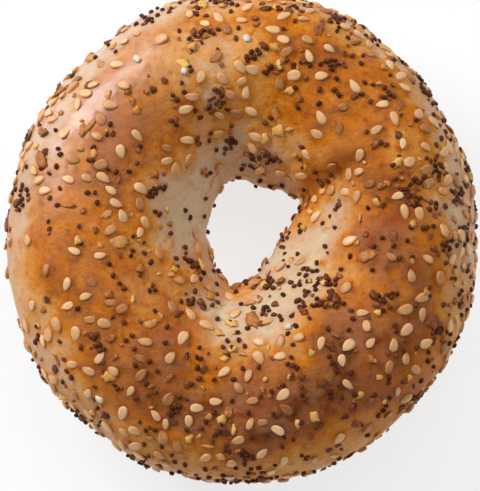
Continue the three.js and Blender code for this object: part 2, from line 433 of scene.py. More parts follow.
@dataclass
class DoughRing:
    """The crust's surface, by azimuth round the ring and turn round its section."""

    outline: Edge = Edge(
        (0.16, -0.38), 53.8,
        (Wave(2, 0.0218, 86), Wave(3, 0.0043, 91), Wave(4, 0.004, 19), Wave(7, 0.0027, 8)),
    )
    hole: Edge = Edge(
        (1.57, 2.87), 10.24,
        (Wave(2, 0.218, 78), Wave(3, 0.111, 17), Wave(4, 0.036, 21), Wave(5, 0.068, 39)),
    )
    crest_swells: tuple[Wave, ...] = (Wave(1, 0.7, 70), Wave(3, 0.45, 200), Wave(5, 0.3, 20))
    crest_height: float = 36.5
    crest_across: float = 0.57
    side_height: float = 15.5
    waist_height: float = 12.5
    base_across: float = 0.52
    base_sink: float = 3.2
    base_rounding: float = 1.4
    outer_top_fullness: float = 0.014
    inner_top_fullness: float = -0.02
    inner_base_fullness: float = 0.01
    outer_base_fullness: float = 0.014
    relief_fade_height: float = 7.0
    crease_fade: float = 0.16
    step_reach: float = 3.2
    probe: float = 1e-3
    lumps: tuple[Lump, ...] = (
        Lump(0.3, 33, (1, 0.35, 0.3), 0.4), Lump(0.28, 24, (-0.45, 1, 0.5), 2.1),
        Lump(0.2, 17, (0.8, -0.9, 0.6), 4.0), Lump(0.12, 11, (0.3, 0.9, -1), 1.2),
    )
    # A knuckle and a hollow at the front, a shoulder and a hollow at the right, and the back and left.
    knuckles: tuple[Knuckle, ...] = (
        Knuckle(-66, 0.42, 6, 2.4), Knuckle(-42, 0.5, 4.5, -1.6), Knuckle(24, 0.5, 8, 0.9),
        Knuckle(-12, 0.2, 6, -1.1), Knuckle(118, 0.6, 9, 0.6), Knuckle(172, 0.45, 8, -0.7),
    )
    # The join of the roll, a tuck and a fold.
    creases: tuple[Crease, ...] = (
        Crease(26, 0.42, 1.5, 1.7, 0.9), Crease(-104, 0.3, 1.3, 0.7, 0.3),
        Crease(150, 0.28, 1.6, 0.6, -0.3),
    )

    def section(self, azimuth: np.ndarray, turn: np.ndarray) -> tuple[np.ndarray, np.ndarray]:
        """The smooth section.

        Args:
            azimuth: Angles round the ring.
            turn: Angles round the section: 0 at the outer side, a quarter turn at the crest.

        Returns:
            How far across the ring each point is, 0 to 1, and how high.
        """
        outer = np.cos(turn) >= 0.0
        upper = np.sin(turn) >= 0.0
        top_full = np.where(outer, self.outer_top_fullness, self.inner_top_fullness)
        base_full = np.where(outer, self.outer_base_fullness, self.inner_base_fullness)
        full = np.where(upper, top_full, base_full)
        x = (1.0 + full) * np.cos(turn) - full * np.cos(3.0 * turn)
        y = (1.0 + full) * np.sin(turn) + full * np.sin(3.0 * turn)
        middle = np.where(upper, self.crest_across, self.base_across)
        widest = np.where(outer, self.side_height, self.waist_height)
        crest = self.crest_height + waves_at(self.crest_swells, azimuth)
        rise = np.where(upper, crest - widest, widest + self.base_sink)
        return middle + x * np.where(outer, 1.0 - middle, middle), widest + rise * y

    def plan(self, azimuth: np.ndarray, across: np.ndarray) -> np.ndarray:
        """Points between the hole's edge and the outline, in the plane of the base."""
        inner = self.hole.at(azimuth)
        return inner + np.asarray(across)[..., None] * (self.outline.at(azimuth) - inner)

    def smooth(self, azimuth: np.ndarray, turn: np.ndarray) -> np.ndarray:
        """Points of the ring before any lump, knuckle or crease."""
        across, height = self.section(azimuth, turn)
        return np.concatenate([self.plan(azimuth, across), height[..., None]], -1)

    def turn_at(self, across: np.ndarray) -> np.ndarray:
        """The turn at which the upper side is this far across the ring.

        Args:
            across: How far across, from 0 at the hole to 1 at the outline.

        Returns:
            The turn for each.
        """
        crest = self.crest_across
        x = (across - crest) / np.where(across >= crest, 1.0 - crest, crest)
        return np.arccos(np.clip(x, -1.0, 1.0))

    def relief(self, azimuth: np.ndarray, turn: np.ndarray, point: np.ndarray) -> np.ndarray:
        """How far the crust stands off the smooth ring.

        Args:
            azimuth: Angles round the ring.
            turn: Angles round the section.
            point: The smooth points there.

        Returns:
            A lift in millimetres for each point.
        """
        lift = np.zeros(len(point))
        for lump in self.lumps:
            run = point @ unit(np.array(lump.toward, float))
            lift += lump.height * np.sin(FULL_TURN * run / lump.length + lump.start)
        for knuckle in self.knuckles:
            at = np.array([math.radians(knuckle.azimuth)])
            centre = self.smooth(at, self.turn_at(np.array([knuckle.across])))[0]
            away = np.linalg.norm(point - centre, axis=1) / knuckle.reach
            lift += knuckle.lift * bell(away)
        across, _ = self.section(azimuth, turn)
        radius = np.hypot(point[:, 0] - self.hole.centre[0], point[:, 1] - self.hole.centre[1])
        for crease in self.creases:
            turned = azimuth - math.radians(crease.azimuth)
            aside = radius * np.sin(turned)
            fade = 1.0 - smoothstep(across, crease.ends - self.crease_fade, crease.ends + self.crease_fade)
            wide = aside / (self.step_reach * crease.width)
            cut = crease.step * 2.0 * wide * bell(wide) - crease.depth * bell(aside / crease.width)
            lift += np.where(np.cos(turned) > 0.0, fade * cut, 0.0)
        return lift * smoothstep(point[:, 2], 0.0, self.relief_fade_height)

    def point(self, azimuth: np.ndarray, turn: np.ndarray) -> np.ndarray:
        """Points of the crust, with the relief pushed out from the dough's core.

        Args:
            azimuth: Angles round the ring.
            turn: Angles round the section.

        Returns:
            One point for each, flattened where the ring rests.
        """
        point = self.smooth(azimuth, turn)
        middle = np.full(len(azimuth), 0.5)
        core = np.concatenate(
            [self.plan(azimuth, middle), np.full((len(azimuth), 1), self.side_height)], -1
        )
        point = point + unit(point - core) * self.relief(azimuth, turn, point)[:, None]
        height = point[:, 2]
        rounding = self.base_rounding
        eased = (height + rounding) ** 2 / (4.0 * rounding)
        low = np.where(height <= -rounding, 0.0, eased)
        point[:, 2] = np.where(height >= rounding, height, low)
        return point

    def frames(self, azimuth: np.ndarray, turn: np.ndarray) -> "Frames":
        """The crust's points with their directions.

        Args:
            azimuth: Angles round the ring.
            turn: Angles round the section.

        Returns:
            The places, one for each pair of angles.
        """
        point = self.point(azimuth, turn)
        around = (self.point(azimuth + self.probe, turn) - point) / self.probe
        down = (self.point(azimuth, turn + self.probe) - point) / self.probe
        cross = np.cross(around, down)
        area = np.linalg.norm(cross, axis=1)
        return Frames(point, area, unit(cross), unit(around))


@dataclass
class Frames:
    """Places on the crust: point, area of one step of both angles, normal and the way round."""

    point: np.ndarray
    area: np.ndarray
    normal: np.ndarray
    along: np.ndarray

    def spots(self, rows: list[int] | np.ndarray) -> tuple[np.ndarray, np.ndarray, np.ndarray]:
        """Point, normal and the way round at these rows."""
        return self.point[rows], self.normal[rows], self.along[rows]


@dataclass
class Ground:
    """Finds the bare crust next to any place."""

    crust: Frames
    tree: KDTree | None = field(default=None, init=False)

    def __post_init__(self) -> None:
        """Sorts the crust's points for the search."""
        self.tree = KDTree(len(self.crust.point))
        for row, point in enumerate(self.crust.point):
            self.tree.insert(point, row)
        self.tree.balance()

    def under(self, spots: np.ndarray) -> Frames:
        """The crust under each spot.

        Args:
            spots: Places near the crust, one a row.

        Returns:
            The nearest places on the crust, with their directions.
        """
        rows = [self.tree.find(spot)[1] for spot in spots]
        point, normal, along = self.crust.spots(rows)
        off = np.sum((spots - point) * normal, axis=1)
        return Frames(spots - off[:, None] * normal, self.crust.area[rows], normal, along)


# The rule that strews the toppings.


@dataclass(frozen=True)
class Patch:
    """A round patch, seen from above, where there is more (gain over 0) or less of something."""

    at: tuple[float, float]
    reach: float
    gain: float


def patched(start: np.ndarray, point: np.ndarray, patches: tuple[Patch, ...]) -> np.ndarray:
    """Adds patches to a value.

    Args:
        start: The value at each point without them.
        point: The points.
        patches: The patches to add.

    Returns:
        The value at each point with them.
    """
    value = start.copy()
    for patch in patches:
        away = np.hypot(point[:, 0] - patch.at[0], point[:, 1] - patch.at[1]) / patch.reach
        value += patch.gain * bell(away)
    return value


# Little stuck to the steep wall of the hole.
HOLE_KEPT_CLEAR = Patch((1.5, 3), 7, -3)


@dataclass(frozen=True)
class Sowing:
    """One kind of topping as it is strewn: how many, how far apart and how it lies."""

    count: int
    stream: int
    spacing: float
    size_spread: float
    tilt: float
    side: Side = Side.CRUST
    clear_of_others: float = 0.0
    drift_power: float = 1.0
    drifts: tuple[Patch, ...] = ()


@dataclass
class Places:
    """Toppings that have been laid, one a row."""

    number: np.ndarray
    point: np.ndarray
    normal: np.ndarray
    along: np.ndarray
    heading: np.ndarray
    size: np.ndarray
    lean: np.ndarray

    def __len__(self) -> int:
        """How many there are."""
        return len(self.number)

    def axes(self) -> tuple[np.ndarray, np.ndarray, np.ndarray]:
        """Each topping's own directions.

        Returns:
            Its long way, its wide way and its up.
        """
        cos_h, sin_h = np.cos(self.heading)[:, None], np.sin(self.heading)[:, None]
        side = np.cross(self.normal, self.along)
        long_way = self.along * cos_h + side * sin_h
        wide_way = np.cross(self.normal, long_way)
        cos_l, sin_l = np.cos(self.lean)[:, None], np.sin(self.lean)[:, None]
        up = self.normal * cos_l + long_way * sin_l
        return long_way * cos_l - self.normal * sin_l, wide_way, up

    @staticmethod
    def stacked(parts: list["Places"]) -> "Places":
        """All the toppings of these parts, in order."""
        return Places(*(np.concatenate([vars(part)[k] for part in parts]) for k in vars(parts[0])))

    def joined(self, other: "Places") -> "Places":
        """These toppings and the others."""
        return Places.stacked([self, other])


@dataclass
class Strewer:
    """Lays toppings one by one: each keeps its distance from those already there."""

    ring: DoughRing
    rests_below: float = 0.02
    bare_below: float = 4.5
    thin_flank_top: float = 18.0
    flank_share: float = 0.3
    largest_area: float = 1700.0
    thickest_cover: float = 2.2
    batch: int = 6000
    drifts: tuple[Patch, ...] = (
        Patch((28, 43), 10, 1.3), Patch((6, 49), 10, 0.7), Patch((49, 18), 10, 0.9),
        Patch((0, -33), 10, 0.9), Patch((-34, -32), 8, 0.8), Patch((-30, 11), 10, 0.4),
        Patch((-21, 38), 9, -0.7), Patch((-46, -11), 9, -0.8), Patch((24, 24), 6, -0.5),
        Patch((24, -45), 10, -0.5), Patch((-13, 11), 4, -0.7), Patch((0, -19), 5, -0.6),
    )

    def cover(self, point: np.ndarray, sowing: Sowing) -> np.ndarray:
        """How thickly a topping lies: 1 is the usual cover.

        Args:
            point: Places on the crust.
            sowing: The topping's own drifts and side.

        Returns:
            The cover at each place.
        """
        if sowing.side is Side.BASE:
            return np.where(point[:, 2] < self.rests_below, 1.0, 0.0)
        gains = patched(np.ones(len(point)), point, self.drifts + sowing.drifts)
        flank = smoothstep(point[:, 2], self.bare_below, self.thin_flank_top)
        thick = np.maximum(0.0, gains) ** sowing.drift_power
        thick *= self.flank_share + (1.0 - self.flank_share) * flank
        return np.where(point[:, 2] < self.bare_below, 0.0, thick)

    def strew(self, sowing: Sowing, taken: Places | None) -> Places:
        """Lays one kind of topping.

        Args:
            sowing: The kind and its numbers.
            taken: Toppings that are already there, if any.

        Returns:
            The new toppings.
        """
        stream, tilt = sowing.stream, math.radians(sowing.tilt)
        gap = sowing.clear_of_others or sowing.spacing
        others = taken.point if taken is not None else np.zeros((0, 3))
        mine = np.full((sowing.count, 3), np.inf)
        found: list[Places] = []
        placed = first = 0
        while placed < sowing.count:
            number = np.arange(first, first + self.batch)
            first += self.batch
            at = self.ring.frames(FULL_TURN * draws(number, stream), FULL_TURN * draws(number, stream + 1))
            chance = at.area / self.largest_area * self.cover(at.point, sowing) / self.thickest_cover
            kept: list[int] = []
            for k in np.flatnonzero(draws(number, stream + 2) <= chance):
                spot = at.point[k]
                if placed < sowing.count and clear(others, spot, gap) and clear(mine, spot, sowing.spacing):
                    mine[placed] = spot
                    kept.append(k)
                    placed += 1
            number = number[kept]
            heading = FULL_TURN * draws(number, stream + 3)
            size = 1.0 + sowing.size_spread * either_way(number, stream + 4)
            lean = tilt * either_way(number, stream + 5)
            found.append(Places(number, *at.spots(kept), heading, size, lean))
        return Places.stacked(found)


# Finishes.


@dataclass(frozen=True)
class BakedCrust:
    """Bread crust, boiled and then baked: a thin starch glaze over browned dough.

    Its colour runs from cream in the hole over peach on the flank to caramel on the crest, and a few
    patches of it are painted shade and painted highlight. Where the glaze stayed whole it shines like
    varnish, and elsewhere the skin is dull. The base that lay on the tray is matt and evenly brown.
    """

    name: str = "bread_crust_boiled_and_baked"
    stops: tuple[tuple[float, str], ...] = (
        (0.0, "#d8c6a4"), (0.12, "#d2b994"), (0.26, "#d3aa86"), (0.42, "#d8964a"), (0.58, "#cb750a"),
        (0.78, "#9d510c"), (1.0, "#572a0e"),
    )
    tray_stops: tuple[tuple[float, str], ...] = (
        (0.5, "#d0a067"), (0.67, "#bd864c"), (0.84, "#a36c37"), (1.0, "#834f28"),
    )
    tray_grain: float = 0.5
    # The tint of dried starch, which the patches of painted shade and highlight use too.
    dusty: str = "#ab6f47"
    ruddy: str = "#a44c1c"
    freckle: str = "#7a380d"
    mottle_mm: float = 6.0
    mottle_share: float = 0.46
    fine_mm: float = 1.3
    fine_share: float = 0.28
    cloud_mm: float = 13.0
    dust_mm: float = 4.2
    skin_mm: float = 0.7
    wrinkle_mm: float = 2.1
    bubble_mm: float = 1.15
    relief_mm: float = 0.2
    relief_strength: float = 0.6

    def build(self) -> bpy.types.Material:
        """Builds the material.

        Returns:
            The finished material.
        """
        material, tree, place = new_material(self.name)
        given = {}
        for label in ("browning", "mottling", "bloom", "glaze", "underside", "scorch"):
            given[label] = add_node(tree, "Attribute", {"attribute_name": label}, "Fac")
        cloud = {}
        for label, size_mm, detail in (
            ("mottle", self.mottle_mm, 4.0), ("ruddy", self.cloud_mm, 3.0), ("dusty", self.dust_mm, 3.0),
            ("fine", self.fine_mm, 4.0), ("skin", self.skin_mm, 3.0), ("wrinkle", self.wrinkle_mm, 2.0),
        ):
            pattern = {"Vector": place, "Scale": per_metre(size_mm), "Detail": detail}
            cloud[label] = add_node(tree, "TexNoise", pattern | {"Roughness": 0.6, "Distortion": 0.4})

        # The mottling is centred: it browns as much as it pales.
        tone = -0.5 * (self.mottle_share + self.fine_share)
        for share, part in ((self.mottle_share, "mottle"), (self.fine_share, "fine")):
            tone = add_node(tree, "Math", TIMES_PLUS | {0: cloud[part], 1: share, 2: tone})
        tone = add_node(tree, "Math", TIMES_PLUS | {0: tone, 1: given["mottling"], 2: given["browning"]})
        colour = add_node(tree, "ValToRGB", {"stops": self.stops, "Fac": tone})
        # Dusty clouds where starch dried on, and in a few patches painted shade and highlight; ruddy clouds
        # and freckles where the sugars browned more: only where the crust browned at all.
        dusted_and_painted_light = add_node(tree, "Math", TIMES | {0: given["bloom"], 1: tone})
        for label, low, high, share, tint, where in (
            ("dusty", 0.36, 0.62, 1.35, self.dusty, dusted_and_painted_light), ("ruddy", 0.48, 0.66, 0.4, self.ruddy, tone),
            ("fine", 0.58, 0.7, 0.5, self.freckle, tone),
        ):
            span = {"From Min": low, "From Max": high, "To Max": share}
            amount = add_node(tree, "MapRange", {"Value": cloud[label]} | span)
            amount = add_node(tree, "Math", TIMES | {0: amount, 1: where})
            colour = add_node(tree, "Mix", BLEND | {0: amount, 6: colour, 7: linear(tint)}, 2)
        scorch = {0: cloud["fine"], 1: self.tray_grain, 2: given["scorch"]}
        scorch = add_node(tree, "Math", TIMES_PLUS | scorch)
        tray = add_node(tree, "ValToRGB", {"stops": self.tray_stops, "Fac": scorch})
        colour = add_node(tree, "Mix", BLEND | {0: given["underside"], 6: colour, 7: tray}, 2)

        # The skin shrank as it cooled: fine grooves run where the pattern crosses its middle.
        groove = add_node(tree, "Math", {"operation": "SUBTRACT", 0: cloud["wrinkle"], 1: 0.5})
        groove = add_node(tree, "Math", {"operation": "ABSOLUTE", 0: groove})
        groove = add_node(tree, "MapRange", {"Value": groove, "From Max": 0.07, "To Max": 0.35})
        relief = add_node(tree, "Math", TIMES_PLUS | {0: cloud["skin"], 1: 0.9, 2: groove})
        # Steam raised pin-head bubbles under the skin: a low dome in the middle of each cell.
        cells = {"feature": "SMOOTH_F1", "Scale": per_metre(self.bubble_mm), "Smoothness": 0.4}
        cell = add_node(tree, "TexVoronoi", {"Vector": place} | cells)
        span = {"From Min": 0.05, "From Max": 0.4, "To Min": 0.8, "To Max": 0.0}
        dome = add_node(tree, "MapRange", {"Value": cell} | span)
        relief = add_node(tree, "Math", TIMES_PLUS | {0: dome, 1: cloud["dusty"], 2: relief})
        bump = {"Height": relief, "Strength": self.relief_strength, "Distance": self.relief_mm * MM}
        shader = {
            "Base Color": colour,
            "Roughness": add_node(tree, "Math", TIMES_PLUS | {0: cloud["fine"], 1: 0.2, 2: 0.42}),
            "Normal": add_node(tree, "Bump", bump), "IOR": 1.45, "Specular IOR Level": 0.13,
            "Subsurface Weight": 0.12, "Subsurface Radius": (1.0, 0.45, 0.2), "Subsurface Scale": 1.6 * MM,
            "Coat Weight": given["glaze"], "Coat Roughness": 0.43, "Coat IOR": 2.0,
        }
        add_node(tree, "OutputMaterial", {"Surface": add_node(tree, "BsdfPrincipled", shader)})
        return material


@dataclass(frozen=True)
class ToppingFinish:
    """A topping's finish: a colour by how toasted it is, mottled, with a bump of its own grain.

    `toast` picks each grain's colour, and `rim` is 1 along a grain's thin edge.
    """

    name: str
    stops: tuple[tuple[float, str], ...]
    rim_colour: str
    rim_share: float
    mottle_mm: float
    mottle_share: float
    grain_mm: float
    grain_height_mm: float
    roughness: float
    ior: float
    shine: float
    subsurface: float
    subsurface_mm: float
    netted: bool = False

    def build(self) -> bpy.types.Material:
        """Builds the material.

        Returns:
            The finished material.
        """
        material, tree, place = new_material(self.name)
        toast = add_node(tree, "Attribute", {"attribute_name": "toast"}, "Fac")
        rim = add_node(tree, "Attribute", {"attribute_name": "rim"}, "Fac")
        pattern = {"Vector": place, "Scale": per_metre(self.mottle_mm), "Detail": 3.0}
        mottle = add_node(tree, "TexNoise", pattern)
        tone = add_node(tree, "Math", {"operation": "SUBTRACT", 0: mottle, 1: 0.5})
        tone = add_node(tree, "Math", TIMES_PLUS | {0: tone, 1: self.mottle_share, 2: toast})
        colour = add_node(tree, "ValToRGB", {"stops": self.stops, "Fac": tone})
        edge = add_node(tree, "Math", TIMES | {0: rim, 1: self.rim_share})
        colour = add_node(tree, "Mix", BLEND | {0: edge, 6: colour, 7: linear(self.rim_colour)}, 2)
        # A net has the ridges between cells, and other grain is plain noise.
        kind, extra = ("TexVoronoi", {"feature": "DISTANCE_TO_EDGE"}) if self.netted else ("TexNoise", {})
        height = add_node(tree, kind, extra | {"Vector": place, "Scale": per_metre(self.grain_mm)})
        bump = {"Height": height, "Strength": 0.5, "Distance": self.grain_height_mm * MM}
        smoothest = self.roughness - 0.07
        shader = {
            "Base Color": colour,
            "Roughness": add_node(tree, "Math", TIMES_PLUS | {0: mottle, 1: 0.15, 2: smoothest}),
            "Normal": add_node(tree, "Bump", bump), "IOR": self.ior, "Specular IOR Level": self.shine,
            "Subsurface Weight": self.subsurface, "Subsurface Radius": (1.0, 0.6, 0.3),
            "Subsurface Scale": self.subsurface_mm * MM,
        }
        add_node(tree, "OutputMaterial", {"Surface": add_node(tree, "BsdfPrincipled", shader)})
        return material


# Hulled sesame, dried and then toasted in the oven: waxy ivory, oily, more golden at the thin rim.
HULLED_SESAME = ToppingFinish(
    name="sesame_seed_hulled_and_toasted",
    stops=((0.0, "#ecc18e"), (0.45, "#dba66f"), (0.75, "#be8046"), (1.0, "#935222")), rim_colour="#c1874d",
    rim_share=0.5, mottle_mm=1.1, mottle_share=0.3, grain_mm=0.3, grain_height_mm=0.05, roughness=0.42,
    ior=1.47, shine=0.5, subsurface=0.2, subsurface_mm=0.7,
)

# Dried poppy: slate blue to brown-black, with a fine net of ridges that dulls the shine.
DRIED_POPPY = ToppingFinish(
    name="poppy_seed_dried",
    stops=((0.0, "#461900"), (0.4, "#5b2602"), (0.75, "#6a350e"), (1.0, "#704b2e")), rim_colour="#663f26",
    rim_share=0.2, mottle_mm=0.8, mottle_share=0.35, grain_mm=0.2, grain_height_mm=0.03, roughness=0.5,
    ior=1.5, shine=0.22, subsurface=0.0, subsurface_mm=0.3, netted=True,
)

# Onion, cut, dried and baked on: papery straw gold to burnt brown, darker at the thin curled edges.
DRIED_ONION = ToppingFinish(
    name="onion_flake_dried_and_baked",
    stops=((0.0, "#d89c58"), (0.35, "#c07834"), (0.65, "#8c4a1d"), (1.0, "#4a1b0c")), rim_colour="#74370f",
    rim_share=0.4, mottle_mm=0.8, mottle_share=0.9, grain_mm=0.4, grain_height_mm=0.12, roughness=0.5,
    ior=1.45, shine=0.4, subsurface=0.15, subsurface_mm=0.6,
)

# Garlic, minced, dried and toasted: straw to gold, horny and a little see-through, browner at thin edges.
TOASTED_GARLIC = ToppingFinish(
    name="garlic_bit_minced_and_toasted",
    stops=((0.0, "#e8b763"), (0.4, "#d59845"), (0.75, "#b5712d"), (1.0, "#85471a")), rim_colour="#a9692a",
    rim_share=0.3, mottle_mm=0.7, mottle_share=0.5, grain_mm=0.35, grain_height_mm=0.06, roughness=0.42,
    ior=1.48, shine=0.4, subsurface=0.25, subsurface_mm=0.8,
)

# Coarse salt: white broken crystals that let light through.
COARSE_SALT = ToppingFinish(
    name="salt_grain_coarse_crystal", stops=((0.0, "#e4d3c0"), (1.0, "#d0b99c")), rim_colour="#e8dcc8",
    rim_share=0.2, mottle_mm=0.8, mottle_share=0.3, grain_mm=0.4, grain_height_mm=0.03, roughness=0.3,
    ior=1.54, shine=0.5, subsurface=0.4, subsurface_mm=0.8,
)


@dataclass(frozen=True)
class OpalTable:
    """Opal acrylic sheet, cast, lit from below: an even white ground that keeps shadows pale."""

    name: str = "table_opal_acrylic_lit"
    stops: tuple[tuple[float, str], ...] = ((0.3, "#8f9090"), (0.7, "#939494"))
    light: str = "#fdfeff"
    cloud_mm: float = 3.0
    glow: float = 0.72

    def build(self) -> bpy.types.Material:
        """Builds the material.

        Returns:
            The finished material.
        """
        material, tree, place = new_material(self.name)
        pattern = {"Vector": place, "Scale": per_metre(self.cloud_mm), "Detail": 4.0}
        cloud = add_node(tree, "TexNoise", pattern)
        shader = {
            "Base Color": add_node(tree, "ValToRGB", {"stops": self.stops, "Fac": cloud}), "Roughness": 0.9,
            "Specular IOR Level": 0.2, "Emission Color": linear(self.light), "Emission Strength": self.glow,
        }
        add_node(tree, "OutputMaterial", {"Surface": add_node(tree, "BsdfPrincipled", shader)})
        return material


# The crust.


@dataclass
class Crust:
    """The bare ring: the shared surface with the skin's own fine relief, browned by the oven, with painted
    shade and highlight in a few patches.
    """

    ring: DoughRing
    around: int = 440
    section: int = 226
    base_share: float = 0.3
    skin_layers: Layers = ((0.08, 6.5, 400), (0.05, 3.1, 410), (0.035, 1.7, 420))
    groove_depth: float = 0.07
    groove_size: float = 3.6
    groove_width: float = 0.09
    pleat_height: float = 0.3
    pleat_width: float = 2.6
    pleat_run: float = 0.2
    pleat_hub: float = 12.0
    pleats_end: tuple[float, float] = (0.1, 0.42)
    blisters: int = 1500
    blister_width: tuple[float, float] = (0.35, 0.95)
    blister_steepness: tuple[float, float] = (0.08, 0.12)
    blister_heat: float = 0.12
    welt: float = 0.16
    welt_reach: float = 1.55
    welt_width: float = 0.6
    # Browner round each pressed topping: partly toasting, partly painted contact shade.
    welt_heat_and_shade: float = 0.09
    glaze_evens: float = 0.6
    # How far the base stood off the tray, and how deep its pits and the seats of its seeds are.
    base_hollow: float = 0.45
    base_pit: float = 0.26
    seat_depth: float = 0.42
    seat_width: float = 1.9
    crest_tone: float = 0.58
    flank_pales: float = 0.34
    hole_pales: float = 0.4
    foot_browns: float = 0.14
    edge_layers: Layers = ((0.045, 9.0, 520), (0.02, 3.5, 530))
    tone_layers: Layers = ((0.07, 11.0, 500), (0.05, 5.0, 510))
    glaze_layers: Layers = ((0.09, 12.0, 540),)
    bloom_layers: Layers = ((0.1, 14.0, 550),)
    tray_edge_layers: Layers = ((0.9, 6.0, 560),)
    off_tray_layers: Layers = ((1.0, 15.0, 480), (0.5, 6.0, 485))
    pit_layers: Layers = ((1.0, 1.9, 490),)
    scorch_layers: Layers = ((0.1, 5.0, 570),)
    # Where each effect starts and where it is full, by how far the crust faces up or down.
    flank_faces: tuple[float, float] = (-0.1, 0.2)
    glaze_faces: tuple[float, float] = (-0.1, 0.4)
    patch_faces: tuple[float, float] = (-0.2, 0.3)
    underside_faces: tuple[float, float] = (0.4, 0.9)
    # The same by how far across the ring.
    glaze_span: tuple[float, float] = (0.1, 0.4)
    bloom_span: tuple[float, float] = (0.05, 0.36)
    scorch_span: tuple[float, float] = (0.2, 0.5)
    # The same by height, and by the layers of unevenness.
    relief_heights: tuple[float, float] = (0.3, 3.0)
    underside_heights: tuple[float, float] = (0.3, 2.9)
    off_tray_range: tuple[float, float] = (-0.45, 0.5)
    pit_range: tuple[float, float] = (0.12, 0.45)
    # The base browned this much, more outside and in its pits, and less where it stood off the tray.
    scorch_usual: float = 0.36
    scorch_outside: float = 0.14
    scorch_off_tray: float = 0.13
    scorch_pits: float = 0.08
    glaze_usual: float = 0.01
    glaze_evens_colour: float = 0.7
    flank_evens_colour: float = 0.5
    blister_flatness: float = 1.6
    palest_flank: float = 0.19
    brownest: float = 1.2
    # Where the flank starts, where the hole's paleness ends, and how high the browned foot reaches.
    flank_starts: tuple[float, float] = (0.76, 0.93)
    hole_ends: tuple[float, float] = (0.02, 0.34)
    foot: tuple[float, float] = (0.5, 5.0)
    # These patches make the crust browner (gain over 0) or paler than the rest. Some are painted shade:
    # (13, 1.5), (14.5, 8.5) and (17, 7) are painted shade in and beside the recess of the join's crease;
    # (2.5, -11) and (-2, -13.3) darken the hole's lower rim, partly as painted shade of its steep wall;
    # (34, -30), (40, -42), (-30, -44) and (0, -53) darken the flanks that face away from the window,
    # partly as painted shade. (-38, 25), (-23, 40) and (-38, 13) pale the crust under the highlight on the
    # upper left, partly as painted highlight.
    patches: tuple[Patch, ...] = (
        Patch((2.5, -11), 5, 0.38), Patch((13, 1.5), 4, 0.34), Patch((20.5, 1), 6, -0.34),
        Patch((-1.5, -19.2), 7, -0.6), Patch((-2, -13.3), 3.8, 0.4), Patch((10.5, -8.5), 3.5, 0.16),
        Patch((-10, -10), 3.5, 0.16), Patch((11, -11), 6, -0.36), Patch((-14, 8), 6, -0.36),
        Patch((0, 20), 7, 0.09), Patch((14.5, 8.5), 3.2, 0.34), Patch((23, 6), 3.5, -0.18),
        Patch((17, 7), 3.5, 0.18), Patch((29, -4), 4.5, 0.2), Patch((29.5, 7), 5.5, 0.24),
        Patch((14, 23), 5, 0.06), Patch((-18, -17), 5, -0.16), Patch((-22, 8), 4, -0.08),
        Patch((20, -15), 5, -0.14), Patch((31, -14), 5, -0.12), Patch((36, 13), 5, -0.04),
        Patch((38, -5), 8, 0.17), Patch((11, -25), 5, -0.26), Patch((18, -23), 4, 0.22),
        Patch((17, -39), 5, 0.14), Patch((-28, 11), 4.5, 0.22), Patch((-22, 18), 6, 0.1),
        Patch((-12, 20), 5.5, 0.06), Patch((-13, -23), 6, 0.26), Patch((34, -30), 14, 0.11),
        Patch((24, -22), 5, 0.08), Patch((4, -43), 8.5, 0.25), Patch((-22, -37), 8, 0.1),
        Patch((-42, -15), 6, 0.08), Patch((47, 2), 7, -0.3), Patch((40, 14), 7, -0.14),
        Patch((22, 37), 6, 0.04), Patch((-2, 41), 6, -0.12), Patch((-4, 29), 8.5, -0.26),
        Patch((-38, 25), 7, -0.14), Patch((-23, 40), 7, -0.1), Patch((-38, 13), 5, -0.16),
        Patch((-50, -8), 10, 0.03), Patch((-30, -44), 14, 0.12), Patch((0, -53), 12, 0.12),
        Patch((4, 52), 7, 0.15), Patch((40, -42), 14, 0.32), Patch((33, 31), 9, 0.04),
        Patch((-25, -12), 9, -0.04),
    )
    glazed: tuple[Patch, ...] = (
        Patch((-41, 27), 10, 0.95), Patch((-26, 43), 10, 0.6), Patch((-48, 6), 7, 0.15),
    )
    bloom_usual: float = 0.22
    # The colour is duller (gain over 0) or clearer in these patches. (17, 11) is painted shade in the join's
    # crease; (-36, 21), (-22, 43) and (-49, 8) dull the crust under the highlight on the upper left, partly
    # as painted highlight.
    dusted_and_painted_light: tuple[Patch, ...] = (
        Patch((2, -52), 20, 0.3), Patch((42, -28), 20, 0.27), Patch((26, 42), 7, 0.25),
        Patch((30, 6), 12, 0.15), Patch((-38, -36), 14, 0.3), Patch((-13, -15), 8, 0.45),
        Patch((-13, 18), 6, 0.3), Patch((17, 11), 6, 0.5), Patch((2, -24), 10, 0.25),
        Patch((24, -10), 8, 0.2), Patch((-36, 21), 11, 1.2), Patch((-22, 43), 9, 0.8),
        Patch((-49, 8), 9, 0.5), Patch((-4, 28), 13, -0.3), Patch((-25, 10), 9, -0.12),
    )
    finish: BakedCrust = BakedCrust()
    azimuth: np.ndarray | None = field(default=None, init=False)
    turn: np.ndarray | None = field(default=None, init=False)
    frames: Frames | None = field(default=None, init=False)

    def __post_init__(self) -> None:
        """Lays out the grid that the toppings are seated on and the mesh is built from."""
        self.azimuth, self.turn = self.angles()
        self.frames = self.ring.frames(self.azimuth, self.turn)

